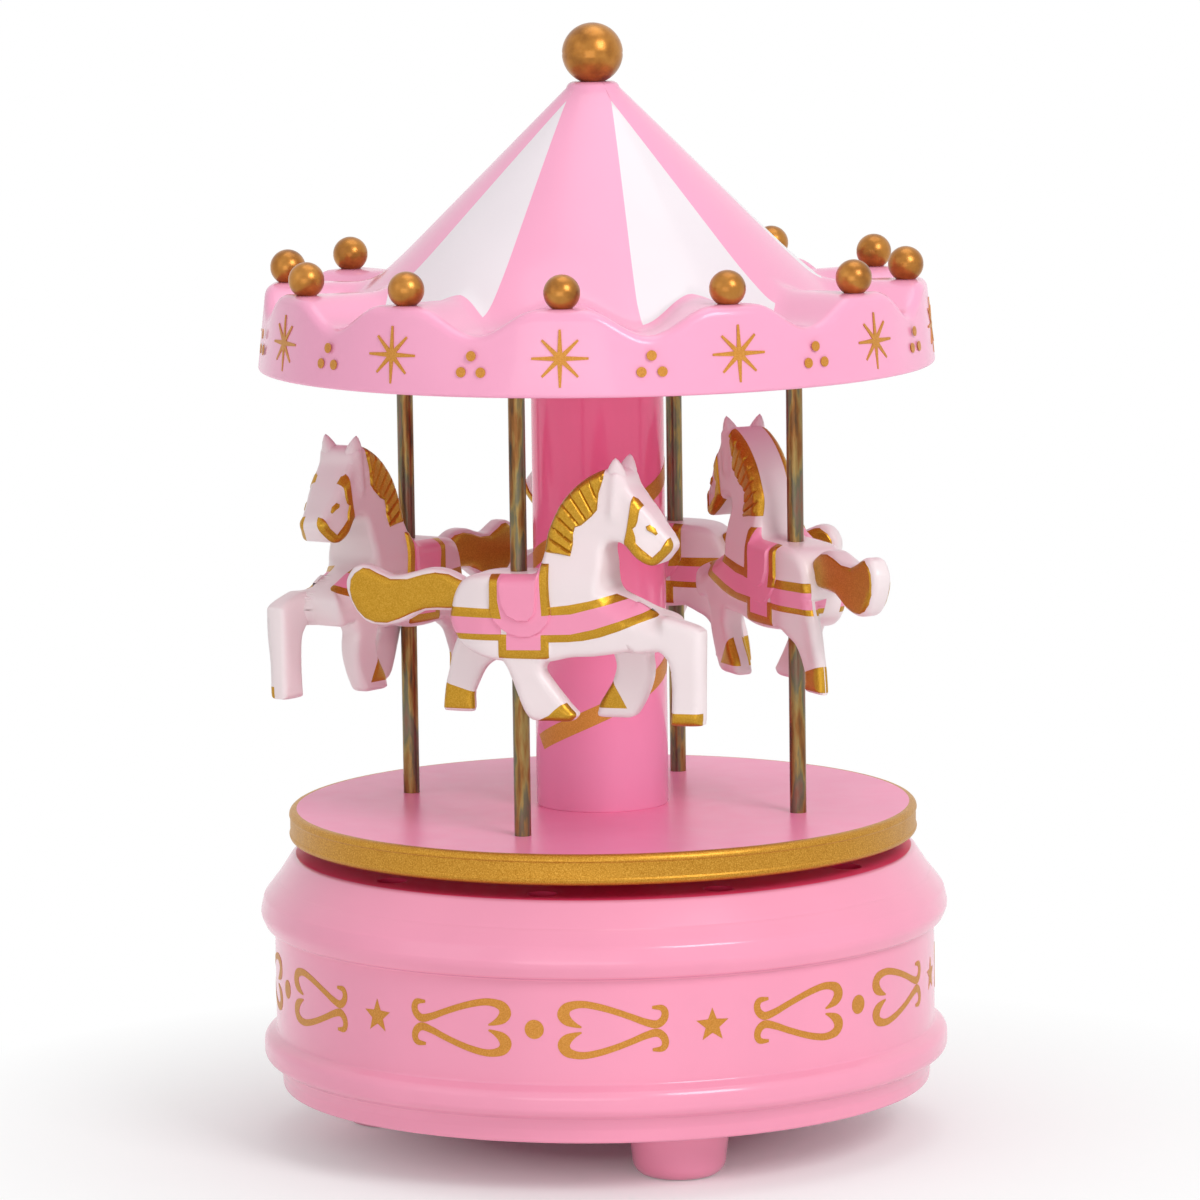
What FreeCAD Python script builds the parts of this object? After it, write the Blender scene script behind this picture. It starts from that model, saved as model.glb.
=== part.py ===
import FreeCAD, Part
import math
import os
import re

import Sketcher

Vector = FreeCAD.Vector
Rotation = FreeCAD.Rotation

# Driving sizes, in millimetres and degrees
SIZES = {
    # Base shell, a turned profile with two beads
    "base_bottom": 8.6,
    "base_foot_radius": 51.7,
    "base_wall_radius": 52.6,
    "base_wall": 2.2,
    "lower_bead_z": 15.2,
    "lower_bead_half": 2.7,
    "bead_rise": 2.0,
    "upper_bead_bottom": 34.2,
    "upper_bead_round": 3.0,
    "upper_bead_step": 1.2,
    "shoulder_z": 39.4,
    "shoulder_radius": 54.0,
    "deck_z": 45.9,
    "deck_radius": 49.5,
    "deck_thickness": 2.2,
    "sound_hole_radius": 2.4,
    "sound_hole_circle": 44.0,
    "sound_hole_angle": -66.4,
    "sound_holes": 10,
    "post_radius": 2.6,
    "post_inset": 4.5,
    "post_angle": -36,
    "posts": 3,
    # Bottom cover and feet
    "cover_thickness": 2.2,
    "cover_clearance": 0.1,
    "arbor_hole_radius": 4.0,
    "foot_radius": 8.0,
    "foot_taper": 1.0,
    "foot_round": 2.6,
    "foot_inset": 15.7,
    "foot_angle": -72,
    "feet": 3,
    "spigot_radius": 3.0,
    # Screws
    "screw_radius": 1.0,
    "screw_head_radius": 2.1,
    "screw_head_height": 1.2,
    "screw_clearance": 0.1,
    "cover_screw_grip": 7.0,
    # Fits
    "running_clearance": 0.05,
    "seat_clearance": 0.05,
    "end_float": 0.1,
    # Platform and drive
    "platform_radius": 50.0,
    "platform_top": 53.0,
    "platform_depth": 4.8,
    "platform_plate": 2.4,
    "platform_rim_wall": 2.0,
    "platform_edge_round": 1.2,
    "hub_radius": 8.0,
    "bush_radius": 5.0,
    "bush_flange_radius": 7.0,
    "bush_flange": 1.0,
    "spindle_radius": 3.0,
    "spindle_flange_radius": 5.0,
    "spindle_flange": 1.2,
    "spindle_screw_grip": 6.0,
    "column_radius": 10.5,
    "column_wall": 1.6,
    "pole_radius": 1.3,
    "pole_circle": 33.2,
    "pole_angle": -112,
    "poles": 4,
    "pole_seat": 1.6,
    # Roof
    "ceiling_z": 124.8,
    "ceiling_thickness": 2.2,
    "ceiling_margin": 2.9,
    "ceiling_ledge": 1.4,
    "roof_bottom": 123.2,
    "roof_radius": 53.5,
    "roof_taper": 1.2,
    "roof_wall": 2.0,
    "roof_edge_round": 1.2,
    "peak_height": 13.2,
    "valley_depth": 4.1,
    "valley_half_width": 9.9,
    "peaks": 12,
    "peak_angle": -96,
    "flare_radius": 41.0,
    "flare_top_radius": 28.0,
    "flare_top_z": 143.2,
    "flare_round": 76.0,
    "cone_top_radius": 4.2,
    "cone_top_z": 167.8,
    "cone_top_round": 1.0,
    "cone_wall": 3.0,
    "rim_ball_radius": 2.8,
    "rim_ball_flat": 1.5,
    "rim_ball_inset": 4.5,
    "ball_pin_radius": 0.8,
    "ball_pin_length": 1.6,
    "finial_radius": 4.8,
    "finial_flat": 1.9,
    # Horses
    "front_horse_z": 71.7,
    "right_horse_z": 73.4,
    "back_horse_z": 71.7,
    "left_horse_z": 71.7,
    "horse_length": 61.3,
    "horse_height": 41.0,
    "horse_width": 11.8,
    "neck_width": 7.4,
    "leg_width": 4.2,
    "ear_width": 2.0,
    "ear_spread": 2.8,
    "tail_width": 3.6,
    "horse_edge_round": 1.3,
    "tail_edge_round": 0.9,
    "front_horse_yaw": 0,
    "right_horse_yaw": 48,
    "back_horse_yaw": 0,
    "left_horse_yaw": -12,
    # Winding key and arbor
    "key_bottom": 1.4,
    "key_thickness": 2.6,
    "key_wing_length": 26.0,
    "key_wing_width": 9.0,
    "key_hub_radius": 4.5,
    "key_hub_top": 7.4,
    "arbor_radius": 2.0,
    "arbor_collar_radius": 3.2,
    # Movement frame
    "bedplate_lift": 2.7,
    "bedplate_thickness": 2.0,
    "bedplate_back": -18.0,
    "bedplate_front": 46.0,
    "bedplate_half_width": 16.0,
    "comb_wing_start": 16.0,
    "comb_wing_end": 38.0,
    "comb_wing_reach": 27.0,
    "boss_radius": 3.2,
    "rear_boss_x": -14.0,
    "rear_boss_y": 11.0,
    "front_boss_x": 40.0,
    "front_boss_y": 10.0,
    "axle_height": 10.5,
    "bracket_thickness": 1.2,
    "bracket_half_width": 5.0,
    "bracket_top_margin": 3.5,
    "bracket_tab": 4.6,
    "bracket_tab_half": 3.2,
    # Spring barrel
    "barrel_radius": 12.6,
    "barrel_wall": 1.0,
    "barrel_float": 1.5,
    "barrel_height": 13.0,
    "barrel_top": 1.2,
    "lid_thickness": 1.0,
    "crown_teeth": 48,
    "crown_module": 0.6,
    "crown_face": 2.4,
    "crown_ring": 1.65,
    "spring_strip": 0.35,
    "spring_pitch": 0.95,
    "spring_side_gap": 0.3,
    # Gears
    "tooth_gap_share": 0.7,
    "flank_angle": 22,
    "root_depth": 1.25,
    "pinion_teeth": 12,
    "train_module": 0.5,
    "wheel_teeth": 36,
    "wheel_face": 1.4,
    "idler_teeth": 12,
    "worm_wheel_teeth": 24,
    "worm_wheel_face": 1.2,
    # Pinned cylinder and comb
    "cylinder_start": 19.0,
    "cylinder_length": 17.0,
    "cylinder_radius": 5.5,
    "cylinder_arbor_radius": 1.0,
    "tune_pin_radius": 0.2,
    "tune_pin_height": 0.5,
    "tune_pin_root": 0.3,
    "pins_per_note": 4,
    "note_turn": 37,
    "comb_teeth": 18,
    "comb_thickness": 0.8,
    "comb_reach": 19.0,
    "comb_tooth_length": 10.0,
    "comb_slot": 0.25,
    "comb_gap": 0.2,
    "comb_rail_step": 1.5,
    "comb_screw_inset": 3.5,
    "comb_screw_grip": 5.0,
    "wheel_gap": 0.8,
    # Governor
    "idler_start": 31.0,
    "idler_arbor_radius": 0.9,
    "worm_plane_gap": 2.8,
    "worm_pitch_radius": 1.5,
    "worm_shaft_radius": 0.8,
    "worm_ridge": 0.5,
    "worm_turns": 5,
    "worm_phase": 0.25,
    "worm_pivot_radius": 0.6,
    "fan_radius": 4.4,
    "fan_thickness": 0.5,
    "fan_hub_radius": 1.5,
    "fan_gap": 0.6,
    "fan_height": 4.6,
    "arm_gap": 0.8,
    "arm_half_width": 2.4,
}

# The horses in the order that their poles stand round the platform
HORSES = ("front", "right", "back", "left")

doc = FreeCAD.newDocument("Carousel")
sheet = doc.addObject("Spreadsheet::Sheet", "Sizes")
for row, (name, size) in enumerate(SIZES.items(), start=1):
    sheet.set(f"A{row}", name)
    sheet.set(f"B{row}", str(size))
    sheet.setAlias(f"B{row}", name)
doc.recompute()

sub_parts = []


def bound(expression):
    """The expression with each size's name pointing at its cell in the sheet."""
    return re.sub(r"[a-z][a-z_0-9]*", lambda word: cell(word[0]), str(expression))


def cell(word):
    return f"Sizes.{word}" if word in SIZES else word


def number(expression):
    return float(sheet.evalExpression(bound(expression)))


def sub_part(obj, label):
    obj.Label = label
    sub_parts.append(obj)
    return obj


def set_sizes(obj, **expressions):
    for name, expression in expressions.items():
        obj.setExpression(name, bound(expression))
    return obj


def place(obj, x="0", y="0", z="0", axis="z", turn=None):
    """Bind the object's place; axis x lays a piece that is made upright along X."""
    if axis == "x":
        obj.Placement = FreeCAD.Placement(Vector(), Rotation(Vector(0, 1, 0), 90))
    if turn is not None:
        obj.Placement = FreeCAD.Placement(Vector(), Rotation(turn[0], 1))
        obj.setExpression("Placement.Rotation.Angle", bound(turn[1]))
    for letter, expression in (("x", x), ("y", y), ("z", z)):
        obj.setExpression(f"Placement.Base.{letter}", bound(expression))
    return obj


def cylinder(name, radius, length, x="0", y="0", z="0", axis="z"):
    obj = doc.addObject("Part::Cylinder", name)
    set_sizes(obj, Radius=radius, Height=length)
    return place(obj, x, y, z, axis)


def box(name, size_x, size_y, size_z, x="0", y="0", z="0"):
    obj = doc.addObject("Part::Box", name)
    set_sizes(obj, Length=size_x, Width=size_y, Height=size_z)
    return place(obj, x, y, z)


def fuse(name, shapes):
    obj = doc.addObject("Part::MultiFuse", name)
    obj.Shapes = shapes
    return obj


def cut(name, base, tools):
    obj = doc.addObject("Part::Cut", name)
    obj.Base = base
    obj.Tool = tools[0] if len(tools) == 1 else fuse(f"{name}Tools", tools)
    return obj


def group(name, shapes):
    obj = doc.addObject("Part::Compound", name)
    obj.Links = shapes
    return obj


def new_body(name):
    return doc.addObject("PartDesign::Body", name)


def origin(body, role):
    return next(feature for feature in body.Origin.OriginFeatures if feature.Role == role)


def new_sketch(body, name, role, lift="0"):
    sketch = body.newObject("Sketcher::SketchObject", name)
    sketch.AttachmentSupport = [(origin(body, role), "")]
    sketch.MapMode = "FlatFace"
    sketch.setExpression("AttachmentOffset.Base.z", bound(lift))
    return sketch


def pin_point(sketch, edge, end, x, y):
    """Hold one point of the sketch at two expressions measured from its origin."""
    for kind, expression in (("DistanceX", x), ("DistanceY", y)):
        index = sketch.addConstraint(Sketcher.Constraint(kind, -1, 1, edge, end, number(expression)))
        sketch.setExpression(f"Constraints[{index}]", bound(expression))


def circle(body, name, role, radius, x="0", y="0", lift="0"):
    sketch = new_sketch(body, name, role, lift)
    centre = Vector(number(x), number(y), 0)
    edge = sketch.addGeometry(Part.Circle(centre, Vector(0, 0, 1), number(radius)))
    pin_point(sketch, edge, 3, x, y)
    index = sketch.addConstraint(Sketcher.Constraint("Radius", edge, number(radius)))
    sketch.setExpression(f"Constraints[{index}]", bound(radius))
    return sketch


def arc_between(start, end, radius):
    """An arc from start to end; a positive radius has its centre on the left of the way."""
    chord = end - start
    side = math.copysign(1, radius)
    left = Vector(-chord.y, chord.x, 0).normalize()
    sagitta = math.sqrt(max(radius * radius - chord.Length ** 2 / 4, 0))
    centre = (start + end) / 2 + left * side * sagitta
    first, last = (start, end) if side > 0 else (end, start)
    angles = [math.atan2(p.y - centre.y, p.x - centre.x) for p in (first, last)]
    return Part.ArcOfCircle(Part.Circle(centre, Vector(0, 0, 1), abs(radius)), *angles)


def outline(body, name, role, points, lift="0"):
    """A closed sketch; a third value on a point makes an arc of that radius from the point before."""
    sketch = new_sketch(body, name, role, lift)
    corners = [Vector(number(point[0]), number(point[1]), 0) for point in points]
    ends = []
    for index, point in enumerate(points):
        start, end = corners[index - 1], corners[index]
        if len(point) == 2:
            edge = sketch.addGeometry(Part.LineSegment(start, end))
            ends.append((edge, 1, 2))
            continue
        radius = number(point[2])
        edge = sketch.addGeometry(arc_between(start, end, radius))
        ends.append((edge, 1, 2) if radius > 0 else (edge, 2, 1))
        index = sketch.addConstraint(Sketcher.Constraint("Radius", edge, abs(radius)))
        sketch.setExpression(f"Constraints[{index}]", bound(f"abs({point[2]})"))
    for index, (edge, first, last) in enumerate(ends):
        following, start, _ = ends[(index + 1) % len(ends)]
        sketch.addConstraint(Sketcher.Constraint("Coincident", edge, last, following, start))
        pin_point(sketch, edge, last, *points[index][:2])
    return sketch


def feature(body, kind, name, sketch, **expressions):
    obj = body.newObject(f"PartDesign::{kind}", name)
    obj.Profile = sketch
    set_sizes(obj, **expressions)
    return obj


def revolve(body, name, points, kind="Revolution"):
    """Turn an outline of radius and height about the body's upright axis."""
    sketch = outline(body, f"{name}Outline", "XZ_Plane", points)
    obj = feature(body, kind, name, sketch)
    obj.ReferenceAxis = (sketch, ["V_Axis"])
    obj.Angle = 360
    return obj


def repeat(body, name, originals, count, role="Z_Axis"):
    """Copies of features spaced evenly round an axis of the body."""
    pattern = body.newObject("PartDesign::PolarPattern", name)
    pattern.Originals = originals
    pattern.Axis = (origin(body, role), [""])
    pattern.Angle = 360
    set_sizes(pattern, Occurrences=count)
    body.Tip = pattern
    return pattern


def around(circle_radius, angle):
    """Expressions for a point on a circle about the upright axis."""
    return f"{circle_radius} * cos({angle})", f"{circle_radius} * sin({angle})"


def spread(count, angle):
    """The angle expressions of copies spaced evenly from a first one."""
    return [f"({angle} + {index} * 360 / {count})" for index in range(int(number(count)))]


def screw(name, x, y, head_z, grip, up=True):
    """A pan-head screw; head_z is the face that its head presses on, and up says which way it points."""
    head_bottom = f"{head_z} - screw_head_height" if up else head_z
    shank_bottom = head_z if up else f"{head_z} - ({grip})"
    head = cylinder(f"{name}Head", "screw_head_radius", "screw_head_height", x, y, head_bottom)
    shank = cylinder(f"{name}Shank", "screw_radius", grip, x, y, shank_bottom)
    return fuse(name, [head, shank])


# Levels that several pieces share
COVER_TOP = "(base_bottom + cover_thickness)"
DECK_UNDER = "(deck_z - deck_thickness)"
SCREW_SEAT = "(base_bottom + screw_head_height + screw_clearance)"
SCREW_HOLE = "(screw_radius + screw_clearance)"
THREAD_HOLE = "(screw_radius + seat_clearance)"
HEAD_HOLE = "(screw_head_radius + screw_clearance)"
MOUTH_RADIUS = "(base_foot_radius - base_wall)"
POST_CIRCLE = f"({MOUTH_RADIUS} - post_inset)"
FOOT_CIRCLE = "(base_foot_radius - foot_inset)"
POLE_HOLE = "(pole_radius + seat_clearance)"
PLATFORM_BOTTOM = "(platform_top - platform_depth)"
PLATE_UNDER = "(platform_top - platform_plate)"
BUSH_TOP = "(deck_z + bush_flange)"
BEDPLATE_BOTTOM = f"({COVER_TOP} + bedplate_lift)"
BEDPLATE_TOP = f"({BEDPLATE_BOTTOM} + bedplate_thickness)"
AXLE_Z = f"({BEDPLATE_TOP} + axle_height)"
BARREL_BOTTOM = f"({BEDPLATE_TOP} + barrel_float)"
BARREL_CEILING = f"({BARREL_BOTTOM} + barrel_height - barrel_top)"
BARREL_TOP = f"({BARREL_BOTTOM} + barrel_height)"
ROOF_PEAK = "(roof_bottom + peak_height)"
ROOF_TOP_RADIUS = "(roof_radius - roof_taper)"
VALLEY_Z = f"({ROOF_PEAK} - valley_depth)"
CEILING_TOP = "(ceiling_z + ceiling_thickness)"
CEILING_RADIUS = "(roof_radius - ceiling_margin)"
RIM_BALL_CIRCLE = "(roof_radius - rim_ball_inset)"
PIN_HOLE = "(ball_pin_radius + seat_clearance)"
CROWN_RADIUS = "(crown_module * crown_teeth / 2)"
PINION_RADIUS = "(crown_module * pinion_teeth / 2)"
PINION_START = f"({CROWN_RADIUS} - crown_face / 2)"
WHEEL_RADIUS = "(train_module * wheel_teeth / 2)"
IDLER_RADIUS = "(train_module * idler_teeth / 2)"
IDLER_Y = f"(-{WHEEL_RADIUS} - {IDLER_RADIUS})"
WORM_WHEEL_RADIUS = "(train_module * worm_wheel_teeth / 2)"
WORM_Y = f"({IDLER_Y} + {WORM_WHEEL_RADIUS} + worm_pitch_radius)"
BRACKET_START = "(cylinder_start - wheel_gap - bracket_thickness)"
WHEEL_START = "(cylinder_start + cylinder_length + wheel_gap)"
GOVERNOR_START = "(cylinder_start + cylinder_length + 2 * wheel_gap + wheel_face)"
GOVERNOR_END = f"({GOVERNOR_START} + bracket_thickness)"
WORM_X = f"({GOVERNOR_END} + worm_plane_gap)"
CROWN_PITCH_Z = f"({AXLE_Z} - {PINION_RADIUS})"
CROWN_TIP = f"({CROWN_PITCH_Z} + crown_module)"
CROWN_ROOT = f"({CROWN_PITCH_Z} - root_depth * crown_module)"
PIN_TIP_RADIUS = "(cylinder_radius + tune_pin_height)"
COMB_START = f"({PIN_TIP_RADIUS} + comb_gap)"
COMB_END = f"({COMB_START} + comb_reach)"
COMB_BOTTOM = f"({AXLE_Z} - comb_thickness / 2)"
RAIL_START = f"({COMB_START} + comb_tooth_length + comb_rail_step)"
FAN_BOTTOM = f"({AXLE_Z} + {WORM_WHEEL_RADIUS} + train_module + fan_gap)"
ARM_BOTTOM = f"({FAN_BOTTOM} + fan_height + arm_gap)"
TAB_TOP = f"({BEDPLATE_TOP} + bracket_thickness)"
ARBOR_HOLE = "(cylinder_arbor_radius + running_clearance)"
IDLER_HOLE = "(idler_arbor_radius + running_clearance)"
PIVOT_HOLE = "(worm_pivot_radius + running_clearance)"


def make_base_shell():
    body = new_body("BaseShell")
    bead_round = "(lower_bead_half^2 + bead_rise^2) / (2 * bead_rise)"
    inside = "base_wall_radius - base_wall"
    neck = "shoulder_radius - upper_bead_step"
    bead_foot = "lower_bead_z - lower_bead_half"
    revolve(body, "BaseProfile", [
        (MOUTH_RADIUS, "base_bottom"),
        ("base_foot_radius", "base_bottom"),
        ("base_foot_radius", COVER_TOP),
        ("base_wall_radius", bead_foot),
        ("base_wall_radius", "lower_bead_z + lower_bead_half", bead_round),
        ("base_wall_radius", "upper_bead_bottom"),
        (neck, "upper_bead_bottom"),
        ("shoulder_radius", "shoulder_z", "upper_bead_round"),
        ("deck_radius", "deck_z"),
        ("bush_radius + seat_clearance", "deck_z"),
        ("bush_radius + seat_clearance", DECK_UNDER),
        ("deck_radius - base_wall", DECK_UNDER),
        (f"{neck} - base_wall", "shoulder_z - base_wall"),
        (f"{neck} - base_wall", "upper_bead_bottom - base_wall"),
        (inside, "upper_bead_bottom - base_wall"),
        (inside, bead_foot),
        (MOUTH_RADIUS, COVER_TOP),
    ])
    x, y = around(POST_CIRCLE, "post_angle")
    post = feature(body, "Pad", "Post",
                   circle(body, "PostOutline", "XY_Plane", "post_radius", x, y, COVER_TOP),
                   Length=f"deck_z - deck_thickness / 2 - {COVER_TOP}")
    doc.recompute()
    pilot = feature(body, "Pocket", "PostPilot",
                    circle(body, "PilotOutline", "XY_Plane", THREAD_HOLE, x, y, COVER_TOP),
                    Length="cover_screw_grip")
    pilot.Reversed = True
    repeat(body, "Posts", [post, pilot], "posts")
    x, y = around("sound_hole_circle", "sound_hole_angle")
    hole = feature(body, "Pocket", "SoundHole",
                   circle(body, "SoundHoleOutline", "XY_Plane", "sound_hole_radius", x, y, "deck_z"),
                   Length="deck_thickness")
    repeat(body, "SoundHoles", [hole], "sound_holes")
    return sub_part(body, "base_shell")


def movement_screw_places():
    rear = [("rear_boss_x", f"{side} * rear_boss_y") for side in (-1, 1)]
    return rear + [("front_boss_x", "front_boss_y")]


def make_bottom_cover():
    disc = cylinder("CoverDisc", f"{MOUTH_RADIUS} - cover_clearance", "cover_thickness", z="base_bottom")
    bosses = [cylinder(f"CoverBoss{index}", "boss_radius", "bedplate_lift", x, y, COVER_TOP)
              for index, (x, y) in enumerate(movement_screw_places())]
    holes = [cylinder("ArborHole", "arbor_hole_radius", "cover_thickness", z="base_bottom")]
    for index, angle in enumerate(spread("feet", "foot_angle")):
        x, y = around(FOOT_CIRCLE, angle)
        holes.append(cylinder(f"SpigotHole{index}", "spigot_radius + seat_clearance", "cover_thickness",
                              x, y, "base_bottom"))
    screw_places = movement_screw_places()
    screw_places += [around(POST_CIRCLE, angle) for angle in spread("posts", "post_angle")]
    for index, (x, y) in enumerate(screw_places):
        holes.append(cylinder(f"HeadHole{index}", HEAD_HOLE, f"{SCREW_SEAT} - base_bottom",
                              x, y, "base_bottom"))
        holes.append(cylinder(f"ShankHole{index}", SCREW_HOLE, f"{BEDPLATE_BOTTOM} - base_bottom",
                              x, y, "base_bottom"))
    return sub_part(cut("BottomCover", fuse("CoverSolid", [disc] + bosses), holes), "bottom_cover")


def make_foot(index, angle):
    body = new_body(f"Foot{index}")
    revolve(body, f"FootProfile{index}", [
        ("0", "0"),
        ("foot_radius - foot_taper - foot_round", "0"),
        ("foot_radius - foot_taper", "foot_round", "foot_round"),
        ("foot_radius", "base_bottom"),
        ("spigot_radius", "base_bottom"),
        ("spigot_radius", COVER_TOP),
        ("0", COVER_TOP),
    ])
    place(body, *around(FOOT_CIRCLE, angle))
    return sub_part(body, f"foot_{index}")


def make_base_screws():
    cover = [screw(f"CoverScrew{index}", *around(POST_CIRCLE, angle), SCREW_SEAT, "cover_screw_grip")
             for index, angle in enumerate(spread("posts", "post_angle"))]
    sub_part(group("CoverScrews", cover), "cover_screws")
    movement = [screw(f"MovementScrew{index}", x, y, SCREW_SEAT, f"{BEDPLATE_TOP} - {SCREW_SEAT}")
                for index, (x, y) in enumerate(movement_screw_places())]
    sub_part(group("MovementScrews", movement), "movement_screws")


def make_deck_bush():
    flange = cylinder("BushFlange", "bush_flange_radius", "bush_flange", z="deck_z")
    sleeve = cylinder("BushSleeve", "bush_radius", "deck_thickness", z=DECK_UNDER)
    bore = cylinder("BushBore", "spindle_radius + running_clearance", "deck_thickness + bush_flange",
                    z=DECK_UNDER)
    return sub_part(cut("DeckBush", fuse("BushSolid", [flange, sleeve]), [bore]), "deck_bush")


def make_platform():
    body = new_body("Platform")
    bore = "spindle_radius + seat_clearance"
    rim_inside = "platform_radius - platform_rim_wall"
    revolve(body, "PlatformProfile", [
        (SCREW_HOLE, "platform_top"),
        (SCREW_HOLE, PLATE_UNDER),
        (bore, PLATE_UNDER),
        (bore, f"{BUSH_TOP} + end_float"),
        ("hub_radius", f"{BUSH_TOP} + end_float"),
        ("hub_radius", PLATE_UNDER),
        (rim_inside, PLATE_UNDER),
        (rim_inside, PLATFORM_BOTTOM),
        ("platform_radius - platform_edge_round", PLATFORM_BOTTOM),
        ("platform_radius", f"{PLATFORM_BOTTOM} + platform_edge_round", "platform_edge_round"),
        ("platform_radius", "platform_top - platform_edge_round"),
        ("platform_radius - platform_edge_round", "platform_top", "platform_edge_round"),
    ])
    doc.recompute()
    x, y = around("pole_circle", "pole_angle")
    socket = feature(body, "Pocket", "PoleSocket",
                     circle(body, "SocketOutline", "XY_Plane", POLE_HOLE, x, y, "platform_top"),
                     Length="pole_seat")
    repeat(body, "PoleSockets", [socket], "poles")
    return sub_part(body, "platform")


def make_drive():
    flange = cylinder("SpindleFlange", "spindle_flange_radius", "spindle_flange", z=BARREL_TOP)
    stem = cylinder("SpindleStem", "spindle_radius", f"{PLATE_UNDER} - {BARREL_TOP}", z=BARREL_TOP)
    thread = cylinder("SpindleThread", THREAD_HOLE, "spindle_screw_grip",
                      z=f"{PLATE_UNDER} - spindle_screw_grip")
    sub_part(cut("DriveSpindle", fuse("SpindleSolid", [flange, stem]), [thread]), "drive_spindle")
    grip = "spindle_screw_grip + platform_plate - end_float"
    sub_part(screw("SpindleScrew", "0", "0", "platform_top", grip, up=False), "spindle_screw")


def make_column():
    height = "ceiling_z - platform_top"
    outside = cylinder("ColumnOutside", "column_radius", height, z="platform_top")
    inside = cylinder("ColumnInside", "column_radius - column_wall", height, z="platform_top")
    return sub_part(cut("Column", outside, [inside]), "column")


def make_poles():
    bottom = "platform_top - pole_seat"
    for index, angle in enumerate(spread("poles", "pole_angle")):
        x, y = around("pole_circle", angle)
        pole = cylinder(f"Pole{index}", "pole_radius", f"ceiling_z + pole_seat - ({bottom})", x, y, bottom)
        sub_part(pole, f"pole_{HORSES[index]}")


def make_ceiling():
    plate = cylinder("CeilingPlate", CEILING_RADIUS, "ceiling_thickness", z="ceiling_z")
    holes = []
    for index, angle in enumerate(spread("poles", "pole_angle")):
        x, y = around("pole_circle", angle)
        holes.append(cylinder(f"CeilingHole{index}", POLE_HOLE, "pole_seat",
                              x, y, "ceiling_z"))
    return sub_part(cut("Ceiling", plate, holes), "ceiling_plate")


def make_roof():
    """A scalloped skirt with radial valleys, a flared cone on it, and the hollow under both."""
    body = new_body("Roof")
    ring_inside = "flare_top_radius - roof_wall"
    revolve(body, "Skirt", [
        (ring_inside, "roof_bottom"),
        ("roof_radius", "roof_bottom"),
        (ROOF_TOP_RADIUS, f"{ROOF_PEAK} - roof_edge_round"),
        (f"{ROOF_TOP_RADIUS} - roof_edge_round", ROOF_PEAK, "roof_edge_round"),
        (ring_inside, ROOF_PEAK),
    ])
    doc.recompute()
    valley_round = "(valley_half_width^2 + valley_depth^2) / (4 * valley_depth)"
    valley = outline(body, "ValleyOutline", "YZ_Plane", [
        ("-valley_half_width", ROOF_PEAK),
        ("-valley_half_width / 2", f"{ROOF_PEAK} - valley_depth / 2", f"-({valley_round})"),
        ("0", VALLEY_Z, valley_round),
        ("valley_half_width / 2", f"{ROOF_PEAK} - valley_depth / 2", valley_round),
        ("valley_half_width", ROOF_PEAK, f"-({valley_round})"),
    ])
    pocket = feature(body, "Pocket", "Valley", valley, Length="roof_radius")
    pocket.Reversed = True
    repeat(body, "Valleys", [pocket], "peaks")
    doc.recompute()
    revolve(body, "Cone", [
        ("0", f"{VALLEY_Z} - roof_wall"),
        ("flare_radius", f"{VALLEY_Z} - roof_wall"),
        ("flare_radius", VALLEY_Z),
        ("flare_top_radius", "flare_top_z", "-flare_round"),
        ("cone_top_radius", "cone_top_z - cone_top_round"),
        ("cone_top_radius - cone_top_round", "cone_top_z", "cone_top_round"),
        ("0", "cone_top_z"),
    ])
    doc.recompute()
    ledge_radius = f"{CEILING_RADIUS} - ceiling_ledge"
    revolve(body, "Hollow", [
        ("0", "roof_bottom"),
        (f"{CEILING_RADIUS} + seat_clearance", "roof_bottom"),
        (f"{CEILING_RADIUS} + seat_clearance", CEILING_TOP),
        (ledge_radius, CEILING_TOP),
        (ledge_radius, f"{VALLEY_Z} - roof_wall"),
        ("flare_radius - roof_wall", f"{VALLEY_Z} - roof_wall"),
        ("flare_top_radius", "flare_top_z - cone_wall"),
        ("cone_top_radius", "cone_top_z - cone_top_round - cone_wall"),
        ("0", "cone_top_z - cone_top_round - cone_wall"),
    ], kind="Groove")
    doc.recompute()
    x, y = around(RIM_BALL_CIRCLE, "(180 / peaks)")
    hole = feature(body, "Pocket", "BallHole",
                   circle(body, "BallHoleOutline", "XY_Plane", PIN_HOLE, x, y, ROOF_PEAK),
                   Length="ball_pin_length + seat_clearance")
    repeat(body, "BallHoles", [hole], "peaks")
    feature(body, "Pocket", "FinialHole",
            circle(body, "FinialHoleOutline", "XY_Plane", PIN_HOLE, lift="cone_top_z"),
            Length="ball_pin_length + seat_clearance")
    place(body, turn=(Vector(0, 0, 1), "peak_angle - 180 / peaks"))
    return sub_part(body, "roof_shell")


def make_ball(label, radius, flat, x, y, z):
    """A ball with a flat foot and a pin under it."""
    body = new_body(label.title().replace("_", ""))
    rise = f"({radius} + sqrt({radius}^2 - {flat}^2))"
    revolve(body, f"{body.Name}Profile", [
        ("0", f"{z} - ball_pin_length"),
        ("ball_pin_radius", f"{z} - ball_pin_length"),
        ("ball_pin_radius", z),
        (flat, z),
        ("0", f"{z} + {rise}", radius),
    ])
    place(body, x, y)
    return sub_part(body, label)


def make_balls():
    for index, angle in enumerate(spread("peaks", "peak_angle"), start=1):
        x, y = around(RIM_BALL_CIRCLE, angle)
        make_ball(f"rim_ball_{index}", "rim_ball_radius", "rim_ball_flat", x, y, ROOF_PEAK)
    make_ball("finial_ball", "finial_radius", "finial_flat", "0", "0", "cone_top_z")


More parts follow.
